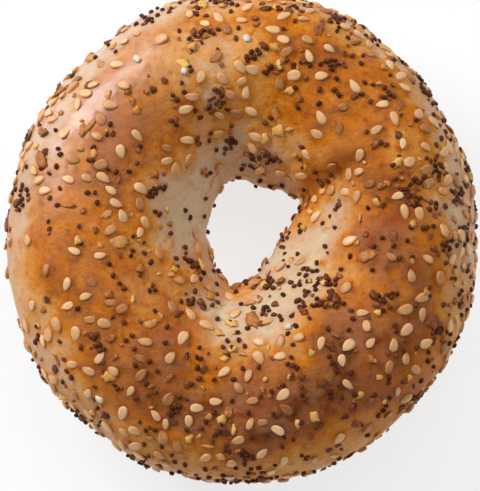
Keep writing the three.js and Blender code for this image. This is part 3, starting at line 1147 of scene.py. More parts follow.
    def angles(self) -> tuple[np.ndarray, np.ndarray]:
        """The grid's angles.

        Returns:
            Azimuths and turns, one for each point of the grid. The turns are spaced by how far they
            reach on the surface, and wider on the base.
        """
        fine = np.linspace(0.0, FULL_TURN, 4001)
        probes = np.linspace(0.0, FULL_TURN, 8, endpoint=False)
        step = np.zeros(len(fine) - 1)
        for azimuth in probes:
            line = self.ring.point(np.full(len(fine), azimuth), fine)
            share = np.where(line[1:, 2] <= 0.0, self.base_share, 1.0)
            step += share * np.linalg.norm(np.diff(line, axis=0), axis=1)
        run = np.concatenate([[0.0], np.cumsum(step)])
        turns = np.interp(np.arange(self.section) / self.section * run[-1], run, fine)
        azimuths = np.arange(self.around) / self.around * FULL_TURN
        grid = np.meshgrid(azimuths, turns, indexing="ij")
        return grid[0].ravel(), grid[1].ravel()

    def blister_sites(self) -> tuple[np.ndarray, np.ndarray, np.ndarray]:
        """Where the skin blistered in the oven.

        Returns:
            Centres, radii and heights.
        """
        number = np.arange(self.blisters * 5)
        at = self.ring.frames(FULL_TURN * draws(number, 301), FULL_TURN * draws(number, 302))
        keep = (draws(number, 303) < at.area / Strewer.largest_area) & (at.normal[:, 2] > 0.15)
        small, more = self.blister_width
        width = small + more * draws(number, 304) ** 2
        low, steeper = self.blister_steepness
        height = width * (low + steeper * draws(number, 305))
        chosen = np.flatnonzero(keep)[: self.blisters]
        return at.point[chosen], width[chosen], height[chosen]

    def build(self, pressed: Places, sunk: Places) -> bpy.types.Object:
        """Builds and dresses the crust.

        Args:
            pressed: Toppings that raise and darken a low welt in the skin round them, partly painted shade.
            sunk: Toppings that are baked into the base.

        Returns:
            The crust.
        """
        at = self.frames
        azimuth = self.azimuth
        across, _ = self.ring.section(azimuth, self.turn)
        point = at.point
        height = point[:, 2]
        lift = rises(point, self.skin_layers)
        # The skin shrank as it cooled: shallow grooves run where this pattern crosses its middle.
        lift -= self.groove_depth * bell(noise(point, self.groove_size, 460) / self.groove_width)
        hub = self.pleat_hub * np.stack([np.cos(azimuth), np.sin(azimuth)], -1)
        reach = np.hypot(point[:, 0] - self.ring.hole.centre[0], point[:, 1] - self.ring.hole.centre[1])
        pleats = noise(np.column_stack([hub, reach * self.pleat_run]), self.pleat_width, 450)
        lift += self.pleat_height * pleats * (1.0 - smoothstep(across, *self.pleats_end))
        heat_and_seed_shade = np.zeros(len(point))
        for centre, width, rise in zip(*self.blister_sites()):
            away = np.linalg.norm(point - centre, axis=1) / width
            dome = bell((self.blister_flatness * away) ** 2)
            lift += rise * dome
            heat_and_seed_shade += self.blister_heat * dome
        # Round each pressed topping the skin rises in a welt and is browner, partly toasted and partly
        # painted contact shade.
        for centre, size in zip(pressed.point, pressed.size):
            away = np.linalg.norm(point - centre, axis=1) - self.welt_reach * size
            near = bell(away / self.welt_width)
            lift += self.welt * near
            heat_and_seed_shade += self.welt_heat_and_shade * near
        edge = rises(point, self.edge_layers, across)
        flank = self.flank(at.normal[:, 2], edge, across)
        # Where the glaze is whole, the skin is smoother.
        glaze = self.glaze(at, across)
        lift *= smoothstep(height, *self.relief_heights) * (1.0 - self.glaze_evens * glaze)
        underside = smoothstep(-at.normal[:, 2], *self.underside_faces)
        foot = rises(point, self.tray_edge_layers, height)
        underside *= 1.0 - smoothstep(foot, *self.underside_heights)

        # The base didn't touch the tray all over: it stayed paler where it stood off.
        off_tray = smoothstep(rises(point, self.off_tray_layers), *self.off_tray_range)
        pits = smoothstep(rises(point, self.pit_layers), *self.pit_range)
        scorch = self.scorch_usual + self.scorch_outside * smoothstep(across, *self.scorch_span)
        scorch -= self.scorch_off_tray * off_tray
        scorch += rises(point, self.scorch_layers) + self.scorch_pits * pits
        hollow = self.base_hollow * off_tray + self.base_pit * pits
        for centre in sunk.point:
            away = np.linalg.norm(point - centre, axis=1) / self.seat_width
            hollow = np.maximum(hollow, self.seat_depth * bell(away**2))
        lift -= underside * hollow
        point = point + at.normal * lift[:, None]
        point[:, 2] = np.maximum(point[:, 2], 0.0)

        piece = new_piece(
            "crust", point, grid_faces(self.around, self.section, True),
            {
                "browning": np.clip(self.browning(at, edge, flank) + heat_and_seed_shade, 0.0, self.brownest),
                "mottling": (
                    1.0 - self.glaze_evens_colour * glaze
                ) * (1.0 - self.flank_evens_colour * flank),
                "bloom": self.bloom(point, across), "glaze": glaze, "underside": underside,
                "scorch": scorch,
            },
        )
        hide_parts(NODE)
        return attach(piece, self.finish.build())

    def glaze(self, at: Frames, across: np.ndarray) -> np.ndarray:
        """How much of the starch glaze is left: 1 is a whole, shining skin.

        Args:
            at: The crust's points and normals.
            across: How far across the ring each point is.

        Returns:
            The glaze at each point.
        """
        point, level = at.point, at.normal[:, 2]
        left = patched(rises(point, self.glaze_layers, self.glaze_usual), point, self.glazed)
        left *= smoothstep(level, *self.glaze_faces) * smoothstep(across, *self.glaze_span)
        return np.clip(left, 0.0, 1.0)

    def flank(self, level: np.ndarray, edge: np.ndarray, across: np.ndarray) -> np.ndarray:
        """How much of the pale outer flank each point is.

        Args:
            level: How far the crust faces up.
            edge: How far across the ring each point is, made uneven.
            across: The same, even.

        Returns:
            0 on the browned top and in the hole, 1 on the flank.
        """
        upper = smoothstep(level, *self.flank_faces)
        return smoothstep(edge, *self.flank_starts) * upper + (1.0 - upper) * (across > 0.5)

    def bloom(self, point: np.ndarray, across: np.ndarray) -> np.ndarray:
        """How much the colour is dulled: dried starch, and painted shade and highlight in patches.

        Args:
            point: The crust's points.
            across: How far across the ring each point is.

        Returns:
            The value at each point: 0 is clear, 1 hides the crust.
        """
        bloom = patched(rises(point, self.bloom_layers, self.bloom_usual), point, self.dusted_and_painted_light)
        return np.clip(bloom, 0.0, 1.0) * smoothstep(across, *self.bloom_span)

    def browning(self, at: Frames, edge: np.ndarray, flank: np.ndarray) -> np.ndarray:
        """Browning, with painted shade and highlight in patches: 0 is cream dough, 1 is dark caramel.

        Args:
            at: The crust's points and normals.
            edge: How far across the ring each point is, made uneven.
            flank: How much of the pale flank each point is.

        Returns:
            The value at each point.
        """
        point, level = at.point, at.normal[:, 2]
        inner = 1.0 - smoothstep(edge, *self.hole_ends)
        tone = self.crest_tone - self.flank_pales * flank - self.hole_pales * inner
        tone += self.foot_browns * (1.0 - smoothstep(point[:, 2], *self.foot))
        # The patches add painted shade and painted highlight in a few places, besides browning.
        tone += patched(np.zeros(len(point)), point, self.patches) * smoothstep(level, *self.patch_faces)
        tone += rises(point, self.tone_layers)
        return np.maximum(tone, self.palest_flank * flank)


# Toppings.


@dataclass(frozen=True)
class Grain:
    """A closed grain as rings of points between two poles, at length 1."""

    stations: int
    sides: int
    blunt: float
    point: float
    squareness: float = 1.0

    def shape(self) -> tuple[np.ndarray, np.ndarray, np.ndarray]:
        """The grain's points.

        Returns:
            Points at length, width and thickness 1, how far along each is, and its angle round.
        """
        step = (np.arange(self.stations) + 0.5) / self.stations
        along = 0.5 - 0.5 * np.cos(math.pi * step)
        width = along**self.blunt * (1.0 - along) ** self.point
        width = width / width.max()
        angle = FULL_TURN * np.arange(self.sides) / self.sides
        rings = [np.repeat(along - 0.5, self.sides)]
        for half in (np.cos(angle), np.sin(angle)):
            squared = np.sign(half) * np.abs(half) ** self.squareness
            rings.append(0.5 * np.outer(width, squared).ravel())
        points = np.concatenate([[[-0.5, 0.0, 0.0]], np.stack(rings, -1), [[0.5, 0.0, 0.0]]])
        share = np.concatenate([[0.0], np.repeat(along, self.sides), [1.0]])
        turned = np.concatenate([[0.0], np.tile(angle, self.stations), [0.0]])
        return points, share, turned

    def faces(self) -> np.ndarray:
        """The grain's triangles."""
        last = self.stations * self.sides + 1
        end = fan(last, last - self.sides, self.sides)
        return np.concatenate([disc(self.stations, self.sides)[:, ::-1], end])


@dataclass
class Topping:
    """One kind of topping, as one piece with its finish; it also names its slot of the record."""

    name: str
    slot: Slot
    finish: ToppingFinish

    def lay(
        self, places: Places, shapes: np.ndarray, faces: np.ndarray, depth: np.ndarray,
        toast: np.ndarray, rim: np.ndarray,
    ) -> bpy.types.Object:
        """Seats each grain on the crust, joins them into one piece and dresses it.

        Args:
            places: Where the grains lie.
            shapes: Each grain's own points in millimetres, (grains, points, 3).
            faces: The triangles that all grains share.
            depth: How far each grain's middle stands above the crust.
            toast: How toasted each grain or each of its points is.
            rim: How near a thin edge each point of a grain is.

        Returns:
            The joined piece.
        """
        shapes = shapes * places.size[:, None, None]
        points = (places.point + places.normal * depth[:, None])[:, None, :]
        for side, way in enumerate(places.axes()):
            points = points + shapes[:, :, side, None] * way[:, None, :]
        points[:, :, 2] = np.maximum(points[:, :, 2], 0.0)
        joined = faces + shapes.shape[1] * np.arange(len(places))[:, None, None]
        spread = {"toast": np.broadcast_to(toast, points.shape[:2])}
        spread["rim"] = np.broadcast_to(rim, points.shape[:2])
        spread = {label: values.ravel() for label, values in spread.items()}
        piece = new_piece(self.name, points.reshape(-1, 3), joined.reshape(-1, 3), spread)
        return attach(piece, self.finish.build())


@dataclass
class SesameSeeds(Topping):
    """Sesame: flattened drops with a round end, a point and a thin rim."""

    name: str = "sesame_seeds"
    slot: Slot = Slot.SESAME
    finish: ToppingFinish = HULLED_SESAME
    length: float = 3.2
    width: float = 1.95
    thickness: float = 1.2
    slim_spread: float = 0.14
    flat_spread: float = 0.2
    wobble: float = 0.035
    wobble_size: float = 0.9
    dish: float = 0.34
    bend: float = 0.06
    # How far a seed's middle stands above the crust, and how far one in the base stands out of it.
    proud: float = 0.3
    shows: float = 0.06
    # Most are lightly toasted and a few more, and those in the base and at the tip more again.
    toasts: tuple[float, float] = (0.05, 0.55)
    dark_share: float = 0.3
    dark_toasts: tuple[float, float] = (0.5, 0.95)
    base_toast: float = 0.25
    tip_toast: float = 0.3
    shared: Sowing = Sowing(count=165, stream=10, spacing=2.7, size_spread=0.14, tilt=14)
    more: Sowing = Sowing(
        count=240, stream=260, spacing=2.5, size_spread=0.16, tilt=16, clear_of_others=2.6,
        drifts=(
            HOLE_KEPT_CLEAR, Patch((45, 12), 12, 2.3), Patch((-8, 44), 8, 0.6), Patch((36, 34), 9, 0.8),
            Patch((12, 48), 9, 0.4), Patch((40, -24), 10, -0.6), Patch((16, -44), 10, -0.6),
        ),
    )
    base: Sowing = Sowing(count=22, stream=600, spacing=5.0, size_spread=0.12, tilt=2, side=Side.BASE)
    grain: Grain = Grain(stations=11, sides=16, blunt=0.46, point=0.72)

    def build(self, places: Places, sunk: Places) -> bpy.types.Object:
        """Builds and dresses the seeds.

        Args:
            places: Where the seeds lie on the crust.
            sunk: Where seeds are baked into the base.

        Returns:
            The seeds as one piece.
        """
        points, share, turned = self.grain.shape()
        both = places.joined(sunk)
        number = np.arange(len(both))
        in_base = number >= len(places)
        slim = 1.0 + self.slim_spread * either_way(number, 610)[:, None]
        flat = 1.0 + self.flat_spread * either_way(number, 611)[:, None]
        curve = self.bend * either_way(number, 612)[:, None]
        x = np.tile(points[:, 0] * self.length, (len(both), 1))
        y = points[:, 1] * self.width * slim + curve * x * x
        # The upper side is a little hollow, so that the rim catches the light.
        hollow = 1.0 - self.dish * np.maximum(np.sin(turned), 0.0) ** 6
        z = points[:, 2] * self.thickness * flat * hollow
        own = np.stack([x, y, z + 7.0 * number[:, None]], -1).reshape(-1, 3)
        z = z + self.wobble * noise(own, self.wobble_size, 620).reshape(z.shape)
        depth = np.where(in_base, self.shows - 0.5 * self.thickness, self.proud)
        dark = draws(number, 614) < self.dark_share
        toast = between(*self.toasts, number, 613)
        toast = np.where(dark, between(*self.dark_toasts, number, 615), toast) + self.base_toast * in_base
        toast = toast[:, None] + self.tip_toast * smoothstep(share, 0.72, 1.0)
        rim = np.abs(np.cos(turned)) ** 8
        return self.lay(both, np.stack([x, y, z], -1), self.grain.faces(), depth, toast, rim)


@dataclass(frozen=True)
class Heap:
    """Grains that stuck together as they fell: how many, how far out and how close to each other."""

    grains: tuple[int, int]
    reach: float
    apart: float
    clear_of_others: float
    purpose: int
    slimness: float = 0.5
    spread: tuple[float, float] = (0.6, 1.4)
    tries: int = 60
    numbers_each: int = 64
    rise: float = 0.12
    sizes: tuple[float, float] = (0.84, 1.14)
    lean: float = 0.5

    def gather(self, middles: Places, taken: Places, ground: Ground) -> Places:
        """Heaps grains round each middle.

        Args:
            middles: Where the heaps are.
            taken: Toppings that the grains lie beside.
            ground: The bare crust.

        Returns:
            The heaped grains.
        """
        few, many = self.grains
        found: list[Places] = []
        laid = np.zeros((0, 3))
        for row, number in enumerate(middles.number):
            tries = int(number) * self.numbers_each + np.arange(self.tries)
            wanted = few + int(draws(number, self.purpose) * (many - few + 1))
            angle = FULL_TURN * draws(tries, self.purpose + 1)
            reach = self.reach * draws(tries, self.purpose + 2)
            reach = reach * between(*self.spread, number, self.purpose + 3)
            way, long_way = middles.heading[row], middles.along[row]
            wide_way = np.cross(middles.normal[row], long_way)
            out, aside = reach * np.cos(angle), self.slimness * reach * np.sin(angle)
            along = out * np.cos(way) - aside * np.sin(way)
            across = out * np.sin(way) + aside * np.cos(way)
            spots = middles.point[row] + along[:, None] * long_way + across[:, None] * wide_way
            at = ground.under(spots)
            kept: list[int] = []
            for k, spot in enumerate(at.point):
                free = clear(laid, spot, self.apart) and clear(taken.point, spot, self.clear_of_others)
                if free and len(kept) < wanted:
                    laid = np.vstack([laid, spot])
                    kept.append(k)
            one = tries[kept]
            point, normal, around = at.spots(kept)
            point = point + self.rise * draws(one, self.purpose + 4)[:, None] * normal
            heading = FULL_TURN * draws(one, self.purpose + 5)
            size = between(*self.sizes, one, self.purpose + 6)
            lean = self.lean * either_way(one, self.purpose + 7)
            found.append(Places(one, point, normal, around, heading, size, lean))
        return Places.stacked(found)


# Where poppy seeds lie thicker or thinner than the other toppings.
POPPY_DRIFTS = (
    Patch((46, -2), 11, 0.7), Patch((30, -36), 11, 0.5), Patch((22, -20), 6, 1.2), Patch((12, -12), 6, 0.9),
    Patch((4, -44), 12, 1.0), Patch((-12, 22), 6, 0.9), Patch((10, 18), 7, 0.1), Patch((-8, -10), 6, 0.8),
    Patch((-14, 48), 8, 0.8), Patch((-19, 32), 8, -0.6), Patch((-36, -2), 10, -0.4),
    Patch((-36, 28), 9, -0.3),
)


@dataclass
class PoppySeeds(Topping):
    """Poppy: tiny kidney-shaped seeds, strewn singly and in loose heaps."""

    name: str = "poppy_seeds"
    slot: Slot = Slot.POPPY
    finish: ToppingFinish = DRIED_POPPY
    length: float = 1.24
    width: float = 1.05
    thickness: float = 0.9
    proud: float = 0.28
    shows: float = 0.05
    notch: float = 0.14
    notch_length: float = 0.16
    palest: float = 0.05
    toast_range: float = 0.75
    single: Sowing = Sowing(
        count=600, stream=60, spacing=1.0, size_spread=0.14, tilt=20, clear_of_others=1.7,
        drifts=POPPY_DRIFTS,
    )
    clumps: Sowing = Sowing(
        count=64, stream=80, spacing=3.8, size_spread=0.14, tilt=20, clear_of_others=2.2, drift_power=1.4,
        drifts=POPPY_DRIFTS,
    )
    heap: Heap = Heap(grains=(2, 8), reach=3.4, apart=0.84, clear_of_others=1.5, purpose=90)
    base: Sowing = Sowing(count=46, stream=640, spacing=2.0, size_spread=0.12, tilt=4, side=Side.BASE)
    grain: Grain = Grain(stations=6, sides=8, blunt=0.45, point=0.45)

    def build(self, places: Places, sunk: Places) -> bpy.types.Object:
        """Builds and dresses the seeds.

        Args:
            places: Where the seeds lie on the crust.
            sunk: Where seeds are baked into the base.

        Returns:
            The seeds as one piece.
        """
        points, share, turned = self.grain.shape()
        both = places.joined(sunk)
        number = np.arange(len(both))
        shape = points * (self.length, self.width, self.thickness)
        # The kidney's notch is on one side.
        shape[:, 1] -= self.notch * bell((share - 0.5) / self.notch_length) * np.maximum(np.cos(turned), 0.0)
        shapes = np.repeat(shape[None], len(both), 0)
        depth = np.where(number < len(places), self.proud, self.shows - 0.5 * self.thickness)
        toast = self.palest + self.toast_range * draws(number, 650)[:, None] ** 1.4
        return self.lay(both, shapes, self.grain.faces(), depth, toast, np.abs(np.cos(turned)) ** 6)


@dataclass(frozen=True)
class Keepsake:
    """An onion flake placed one by one: where, which way, how long, how wide and how toasted."""

    name: str
    at: tuple[float, float]
    way: float
    length: float
    width: float
    toast: float


@dataclass
class OnionFlakes(Topping):
    """Dried onion: thin, ragged and crumpled plates."""

    name: str = "onion_flakes"
    slot: Slot = Slot.ONION
    finish: ToppingFinish = DRIED_ONION
    # The flakes that the solid has are of one size, and the others are smaller by a share of it.
    length: float = 5.2
    width: float = 2.9
    thickness: float = 0.8
    length_shares: tuple[float, float] = (0.5, 0.85)
    width_shares: tuple[float, float] = (0.3, 0.8)
    thicknesses: tuple[float, float] = (0.3, 0.65)
    hand_thickness: float = 0.55
    ragged: float = 0.3
    frayed: float = 0.26
    crumples: Layers = ((0.24, 1.5, 742), (0.1, 0.7, 742))
    curls: tuple[float, float] = (0.02, 0.07)
    cup: float = 0.14
    thin_edge: float = 0.55
    flare: float = 1.02
    shared_corners: int = 7
    corners: int = 21
    rings: tuple[float, ...] = (0.25, 0.5, 0.75, 1.0)
    proud: float = 0.22
    shared_proud: float = 0.12
    toasts: tuple[float, float] = (0.08, 0.68)
    # In the pale hollow round the hole they toasted less, as the crust did.
    hollow_toast: float = 0.4
    hollow_ends: tuple[float, float] = (17.0, 27.0)
    hand_numbers: int = 9000
    faces_up: float = 0.05
    shared: Sowing = Sowing(count=14, stream=20, spacing=6, size_spread=0.3, tilt=12)
    more: Sowing = Sowing(
        count=46, stream=200, spacing=3.4, size_spread=0.4, tilt=18, clear_of_others=2.9,
        drifts=(HOLE_KEPT_CLEAR,),
    )
    keepsakes: tuple[Keepsake, ...] = (
        Keepsake("long_strip", (-33.0, 21.6), 52, 6.4, 1.5, 0.38),
        Keepsake("brown_nugget", (-33.4, 31.0), 20, 3.4, 2.6, 0.7),
        Keepsake("rolled_flake", (-26.3, 45.2), 8, 5.4, 2.4, 0.5),
        Keepsake("dark_crumb", (-10.4, 47.3), 10, 3.2, 2.0, 0.95),
        Keepsake("red_flake", (-13.4, -19.6), 40, 3.4, 1.4, 0.85),
        Keepsake("burnt_flake", (-14.8, -42.8), -30, 3.4, 2.3, 0.8),
        Keepsake("gold_sliver", (1.2, -8.6), 5, 3.4, 2.0, 0.02),
        Keepsake("hole_flake", (-3.2, -9.5), 5, 3.6, 2.0, 0.1),
        Keepsake("back_dark", (5.0, 48.4), 0, 3.4, 2.4, 0.95),
        Keepsake("straw_sliver", (4.4, -16.0), 80, 3.0, 1.0, 0.0),
    )

    def outline(self, number: np.ndarray) -> np.ndarray:
        """The ragged edge of each flake.

        Args:
            number: The flakes' numbers.

        Returns:
            Points of the edge at length and width 1, (flakes, corners, 2).
        """
        angle = FULL_TURN * np.arange(self.corners) / self.corners
        # Every third corner is one that the solid has, and those between follow the line.
        radii = np.stack(
            [1.0 - self.ragged * draws(number, 40 + k) for k in range(self.shared_corners)], -1
        )
        low, share = np.divmod(np.arange(self.corners), self.corners // self.shared_corners)
        share = share / (self.corners // self.shared_corners)
        radius = radii[:, low] * (1.0 - share) + radii[:, (low + 1) % self.shared_corners] * share
        fray = np.stack([draws(number, 700 + k) for k in range(self.corners)], -1)
        radius = radius * (1.0 - self.frayed * fray * (share > 0.0))
        return 0.5 * np.stack([radius * np.cos(angle), radius * np.sin(angle)], -1)

    def shapes(self, number: np.ndarray, size: np.ndarray) -> tuple[np.ndarray, np.ndarray]:
        """Each flake's own points.

        Args:
            number: The flakes' numbers.
            size: Length, width and thickness of each, in millimetres.

        Returns:
            Points (flakes, points, 3), and how near the rim each point is.
        """
        edge = self.outline(number)
        flat = np.concatenate([0.0 * edge[:, :1]] + [edge * ring for ring in self.rings], 1)
        rim = np.concatenate([[0.0]] + [np.full(self.corners, ring**3) for ring in self.rings])
        x, y = flat[:, :, 0] * size[:, 0:1], flat[:, :, 1] * size[:, 1:2]
        curl = between(*self.curls, number, 740)[:, None]
        cup = self.cup * either_way(number, 741)[:, None]
        own = np.stack([x, y, 9.0 * number[:, None] + 0.0 * x], -1).reshape(-1, 3)
        bend = rises(own, self.crumples).reshape(x.shape) - curl * x * x + cup * y * y
        half = 0.5 * size[:, 2:3] * (1.0 - self.thin_edge * rim**2)
        top = np.stack([x, y, bend + half], -1)
        low = np.stack([x * self.flare, y * self.flare, bend - half], -1)
        return np.concatenate([top, low], 1), np.concatenate([rim, rim])

    def faces(self) -> np.ndarray:
        """A flake's triangles: a disc above, one below and the edge between them."""
        lid = disc(len(self.rings), self.corners)
        points = 1 + len(self.rings) * self.corners
        last = points - self.corners
        return np.concatenate([lid, lid[:, ::-1] + points, band(last, points + last, self.corners)])

    def by_hand(self, crust: Frames) -> Places:
        """Lays the listed flakes, each at the crust's point under it.

        Args:
            crust: The crust's points.

        Returns:
            The flakes' places.
        """
        upper = np.flatnonzero(crust.normal[:, 2] > self.faces_up)
        places = np.array([flake.at for flake in self.keepsakes])
        away = np.linalg.norm(crust.point[upper, None, :2] - places, axis=-1)
        point, normal, along = crust.spots(upper[np.argmin(away, axis=0)])
        way = np.radians([flake.way for flake in self.keepsakes]) - np.arctan2(along[:, 1], along[:, 0])
        count = len(self.keepsakes)
        number = self.hand_numbers + np.arange(count)
        return Places(number, point, normal, along, way, np.ones(count), np.zeros(count))

    def build(self, shared: Places, more: Places, crust: Frames) -> bpy.types.Object:
        """Builds and dresses the flakes.

        Args:
            shared: The flakes that the solid has too.
            more: The flakes that only lie here.
            crust: The crust's points, for the listed flakes.

        Returns:
            The flakes as one piece.
        """
        strewn = shared.joined(more)
        number = strewn.number
        size = np.stack(
            [
                self.length * between(*self.length_shares, number, 751),
                self.width * between(*self.width_shares, number, 750),
                between(*self.thicknesses, number, 752),
            ],
            -1,
        )
        size[: len(shared)] = (self.length, self.width, self.thickness)
        size = np.vstack([size, [(f.length, f.width, self.hand_thickness) for f in self.keepsakes]])
        out = smoothstep(np.hypot(strewn.point[:, 0], strewn.point[:, 1]), *self.hollow_ends)
        toast = between(*self.toasts, number, 753)
        toast = toast * (self.hollow_toast + (1.0 - self.hollow_toast) * out)
        toast = np.concatenate([toast, [flake.toast for flake in self.keepsakes]])
        places = strewn.joined(self.by_hand(crust))
        shapes, rim = self.shapes(places.number, size)
        depth = np.where(np.arange(len(places)) < len(shared), self.shared_proud, self.proud)
        return self.lay(places, shapes, self.faces(), depth, toast[:, None], rim)


@dataclass
class Crumbs(Topping):
    """Small broken grains: dried garlic and onion bits, or salt."""

    sowing: Sowing
    length: float
    length_spread: float
    grain: Grain
    toasts: tuple[float, float]
    purpose: int
    widths: tuple[float, float] = (0.6, 0.9)
    thicknesses: tuple[float, float] = (0.26, 0.5)
    brokenness: float = 0.75
    facet: float = 0.38
    proud: float = 0.22
    heap: Heap | None = None

    def build(self, places: Places) -> bpy.types.Object:
        """Builds and dresses the crumbs.

        Args:
            places: Where they lie.

        Returns:
            The crumbs as one piece.
        """
        points, _, turned = self.grain.shape()
        number = places.number
        wide = between(*self.widths, number, self.purpose + 1)
        thick = between(*self.thicknesses, number, self.purpose + 2)
        length = self.length * (1.0 + self.length_spread * either_way(number, self.purpose))
        size = length[:, None] * np.stack([np.ones(len(places)), wide, thick], -1)
        shapes = points * size[:, None, :]
        own = shapes + np.array([0.0, 0.0, 1.0]) * (11.0 * number[:, None, None] % 977)
        broken = noise(own.reshape(-1, 3), self.facet * self.length, self.purpose + 3)
        shapes = shapes * (1.0 + self.brokenness * broken.reshape(len(places), -1, 1))
        depth = np.full(len(places), self.proud)
        toast = between(*self.toasts, number, self.purpose + 6)[:, None]
        return self.lay(places, shapes, self.grain.faces(), depth, toast, np.abs(np.cos(turned)) ** 6)


BROKEN_BIT = Grain(stations=6, sides=9, blunt=0.42, point=0.48, squareness=0.9)
GARLIC_BITS = Crumbs(
    name="garlic_bits", slot=Slot.ONION, finish=TOASTED_GARLIC,
    sowing=Sowing(
        count=190, stream=220, spacing=1.6, size_spread=0.3, tilt=25, clear_of_others=1.8,
        drifts=(HOLE_KEPT_CLEAR, Patch((0, -12), 5, 2.5), Patch((6, 17), 6, 2.5), Patch((-12, -10), 5, 1.8)),
    ),
    length=1.8, length_spread=0.4, grain=BROKEN_BIT, toasts=(0.0, 0.6), purpose=800,
)
# Browned hard, and mostly caught among the heaped poppy seeds.
ONION_CRUMBS = Crumbs(
    name="onion_crumbs", slot=Slot.ONION, finish=DRIED_ONION,
    sowing=Sowing(
        count=210, stream=280, spacing=1.5, size_spread=0.35, tilt=25, clear_of_others=1.6,
        drifts=(HOLE_KEPT_CLEAR, Patch((30, 40), 9, 0.9), Patch((32, -30), 10, 0.6)),
    ),
    length=1.5, length_spread=0.45, grain=BROKEN_BIT, toasts=(0.4, 0.95), purpose=840,
    heap=Heap(grains=(1, 5), reach=4.4, apart=1.1, clear_of_others=0.9, purpose=190),
)
SALT_GRAINS = Crumbs(
    name="salt_grains", slot=Slot.SALT, finish=COARSE_SALT,
    sowing=Sowing(count=9, stream=240, spacing=9.0, size_spread=0.2, tilt=25, clear_of_others=2.2),
    length=1.7, length_spread=0.3, toasts=(0.0, 0.6), purpose=820,
    grain=Grain(stations=6, sides=8, blunt=0.12, point=0.12, squareness=0.4),
    thicknesses=(0.4, 0.65), brokenness=0.25, facet=0.5,
)


# Table, light and camera.


@dataclass(frozen=True)
class SoftBox:
    """A soft light: where it stands, how wide and tall it is and how strong."""

    name: str
    azimuth: float
    elevation: float
    distance: float
    size: tuple[float, float]
    watts: float
    colour: str


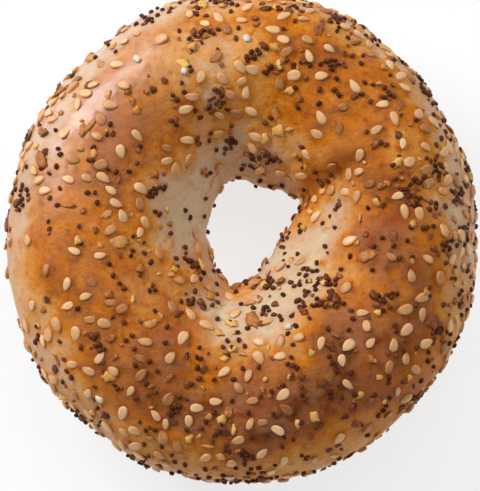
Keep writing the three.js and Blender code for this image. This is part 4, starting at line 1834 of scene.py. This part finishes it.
@dataclass
class Studio:
    """The table, the lights and the camera."""

    frame_size: tuple[int, int] = (480, 491)
    mm_per_pixel: float = 0.2245
    centre_offset_pixels: tuple[float, float] = (1.7, 6.5)
    outline_centre: tuple[float, float] = (0.2, -0.5)
    aim_height: float = 15.5
    camera_elevation: float = 82.0
    camera_distance: float = 650.0
    sensor: float = 36.0
    clip_range: tuple[float, float] = (0.02, 20.0)
    table_half: float = 3000.0
    table_lines: int = 13
    sky: str = "#ffffff"
    sky_strength: float = 0.25
    lights: tuple[SoftBox, ...] = (
        SoftBox("window", 143, 37, 900, (540, 260), 6.8, "#f9faff"),
        SoftBox("softbox", 62, 54, 1000, (800, 800), 3.8, "#ffffff"),
        SoftBox("reflector", 290, 32, 1000, (900, 700), 0.8, "#f8fbff"),
    )
    sheet: OpalTable = OpalTable()

    def build(self) -> None:
        """Sets the table, hangs the lights and places the camera."""
        self.lay_table()
        for light in self.lights:
            self.hang(light)
        self.place_camera()
        world = bpy.data.worlds.new("soft_room")
        world.use_nodes = True
        tree = world.node_tree
        tree.nodes.clear()
        glow = add_node(tree, "Background", {"Color": linear(self.sky), "Strength": self.sky_strength})
        add_node(tree, "OutputWorld", {"Surface": glow})
        bpy.context.scene.world = world
        bpy.context.scene.view_settings.view_transform = "Standard"

    def lay_table(self) -> None:
        """A wide sheet, cut in squares, with the bagel in the middle."""
        steps = np.linspace(-self.table_half, self.table_half, self.table_lines)
        grid = np.stack(np.meshgrid(steps, steps, indexing="ij"), -1).reshape(-1, 2)
        points = np.column_stack([grid, np.zeros(len(grid))])
        table = new_piece("table", points, grid_faces(self.table_lines, self.table_lines, False), {})
        table.data.materials.append(self.sheet.build())

    def hang(self, light: SoftBox) -> None:
        """Hangs one soft light, turned to the bagel.

        Args:
            light: The light.
        """
        azimuth, elevation = math.radians(light.azimuth), math.radians(light.elevation)
        away = Vector(
            (
                math.cos(azimuth) * math.cos(elevation), math.sin(azimuth) * math.cos(elevation),
                math.sin(elevation),
            )
        )
        data = bpy.data.lights.new(light.name, "AREA")
        data.shape = "RECTANGLE"
        data.size, data.size_y = (length * MM for length in light.size)
        data.energy = light.watts
        data.color = linear(light.colour)[:3]
        lamp = bpy.data.objects.new(light.name, data)
        lamp.location = away * light.distance * MM
        lamp.rotation_mode = "QUATERNION"
        lamp.rotation_quaternion = away.to_track_quat("Z", "Y")
        bpy.context.scene.collection.objects.link(lamp)

    def place_camera(self) -> None:
        """Places the camera nearly overhead, with a long lens."""
        tall = self.frame_size[1] * self.mm_per_pixel
        elevation = math.radians(self.camera_elevation)
        right, above = (n * self.mm_per_pixel for n in self.centre_offset_pixels)
        target = Vector(
            (
                self.outline_centre[0] - right, self.outline_centre[1] - above / math.sin(elevation),
                self.aim_height,
            )
        )
        back = Vector((0.0, -math.cos(elevation), math.sin(elevation)))
        data = bpy.data.cameras.new("camera")
        data.sensor_width = self.sensor
        data.lens = self.sensor * self.camera_distance / tall
        data.clip_start, data.clip_end = self.clip_range
        camera = bpy.data.objects.new("camera", data)
        camera.location = (target + back * self.camera_distance) * MM
        camera.rotation_mode = "QUATERNION"
        camera.rotation_quaternion = back.to_track_quat("Z", "Y")
        bpy.context.scene.collection.objects.link(camera)
        bpy.context.scene.camera = camera


# Building.


def main() -> None:
    """Builds the bagel and its studio, largest pieces first."""
    logging.basicConfig(level=logging.INFO, format="%(message)s")
    ring = DoughRing()
    strewer = Strewer(ring)
    crust, sesame, poppy, onion = Crust(ring), SesameSeeds(), PoppySeeds(), OnionFlakes()

    flakes = strewer.strew(onion.shared, None)
    seeds = strewer.strew(sesame.shared, flakes)
    shared = flakes.joined(seeds)
    more_seeds = strewer.strew(sesame.more, shared)
    taken = shared.joined(more_seeds)
    more_flakes = strewer.strew(onion.more, taken)
    taken = taken.joined(more_flakes)
    middles = strewer.strew(poppy.clumps, taken)
    ground = Ground(crust.frames)
    heaped = poppy.heap.gather(middles, taken, ground)
    browned = ONION_CRUMBS.heap.gather(middles, taken.joined(heaped), ground)
    browned = strewer.strew(ONION_CRUMBS.sowing, taken.joined(heaped)).joined(browned)
    sunk_seeds = strewer.strew(sesame.base, None)
    sunk_poppy = strewer.strew(poppy.base, sunk_seeds)

    crust.build(shared.joined(more_seeds), sunk_seeds.joined(sunk_poppy))
    sesame.build(seeds.joined(more_seeds), sunk_seeds)
    onion.build(flakes, more_flakes, crust.frames)
    GARLIC_BITS.build(strewer.strew(GARLIC_BITS.sowing, taken))
    ONION_CRUMBS.build(browned)
    SALT_GRAINS.build(strewer.strew(SALT_GRAINS.sowing, taken))
    poppy.build(strewer.strew(poppy.single, taken).joined(heaped), sunk_poppy)
    Studio().build()


if __name__ == "__main__":
    main()
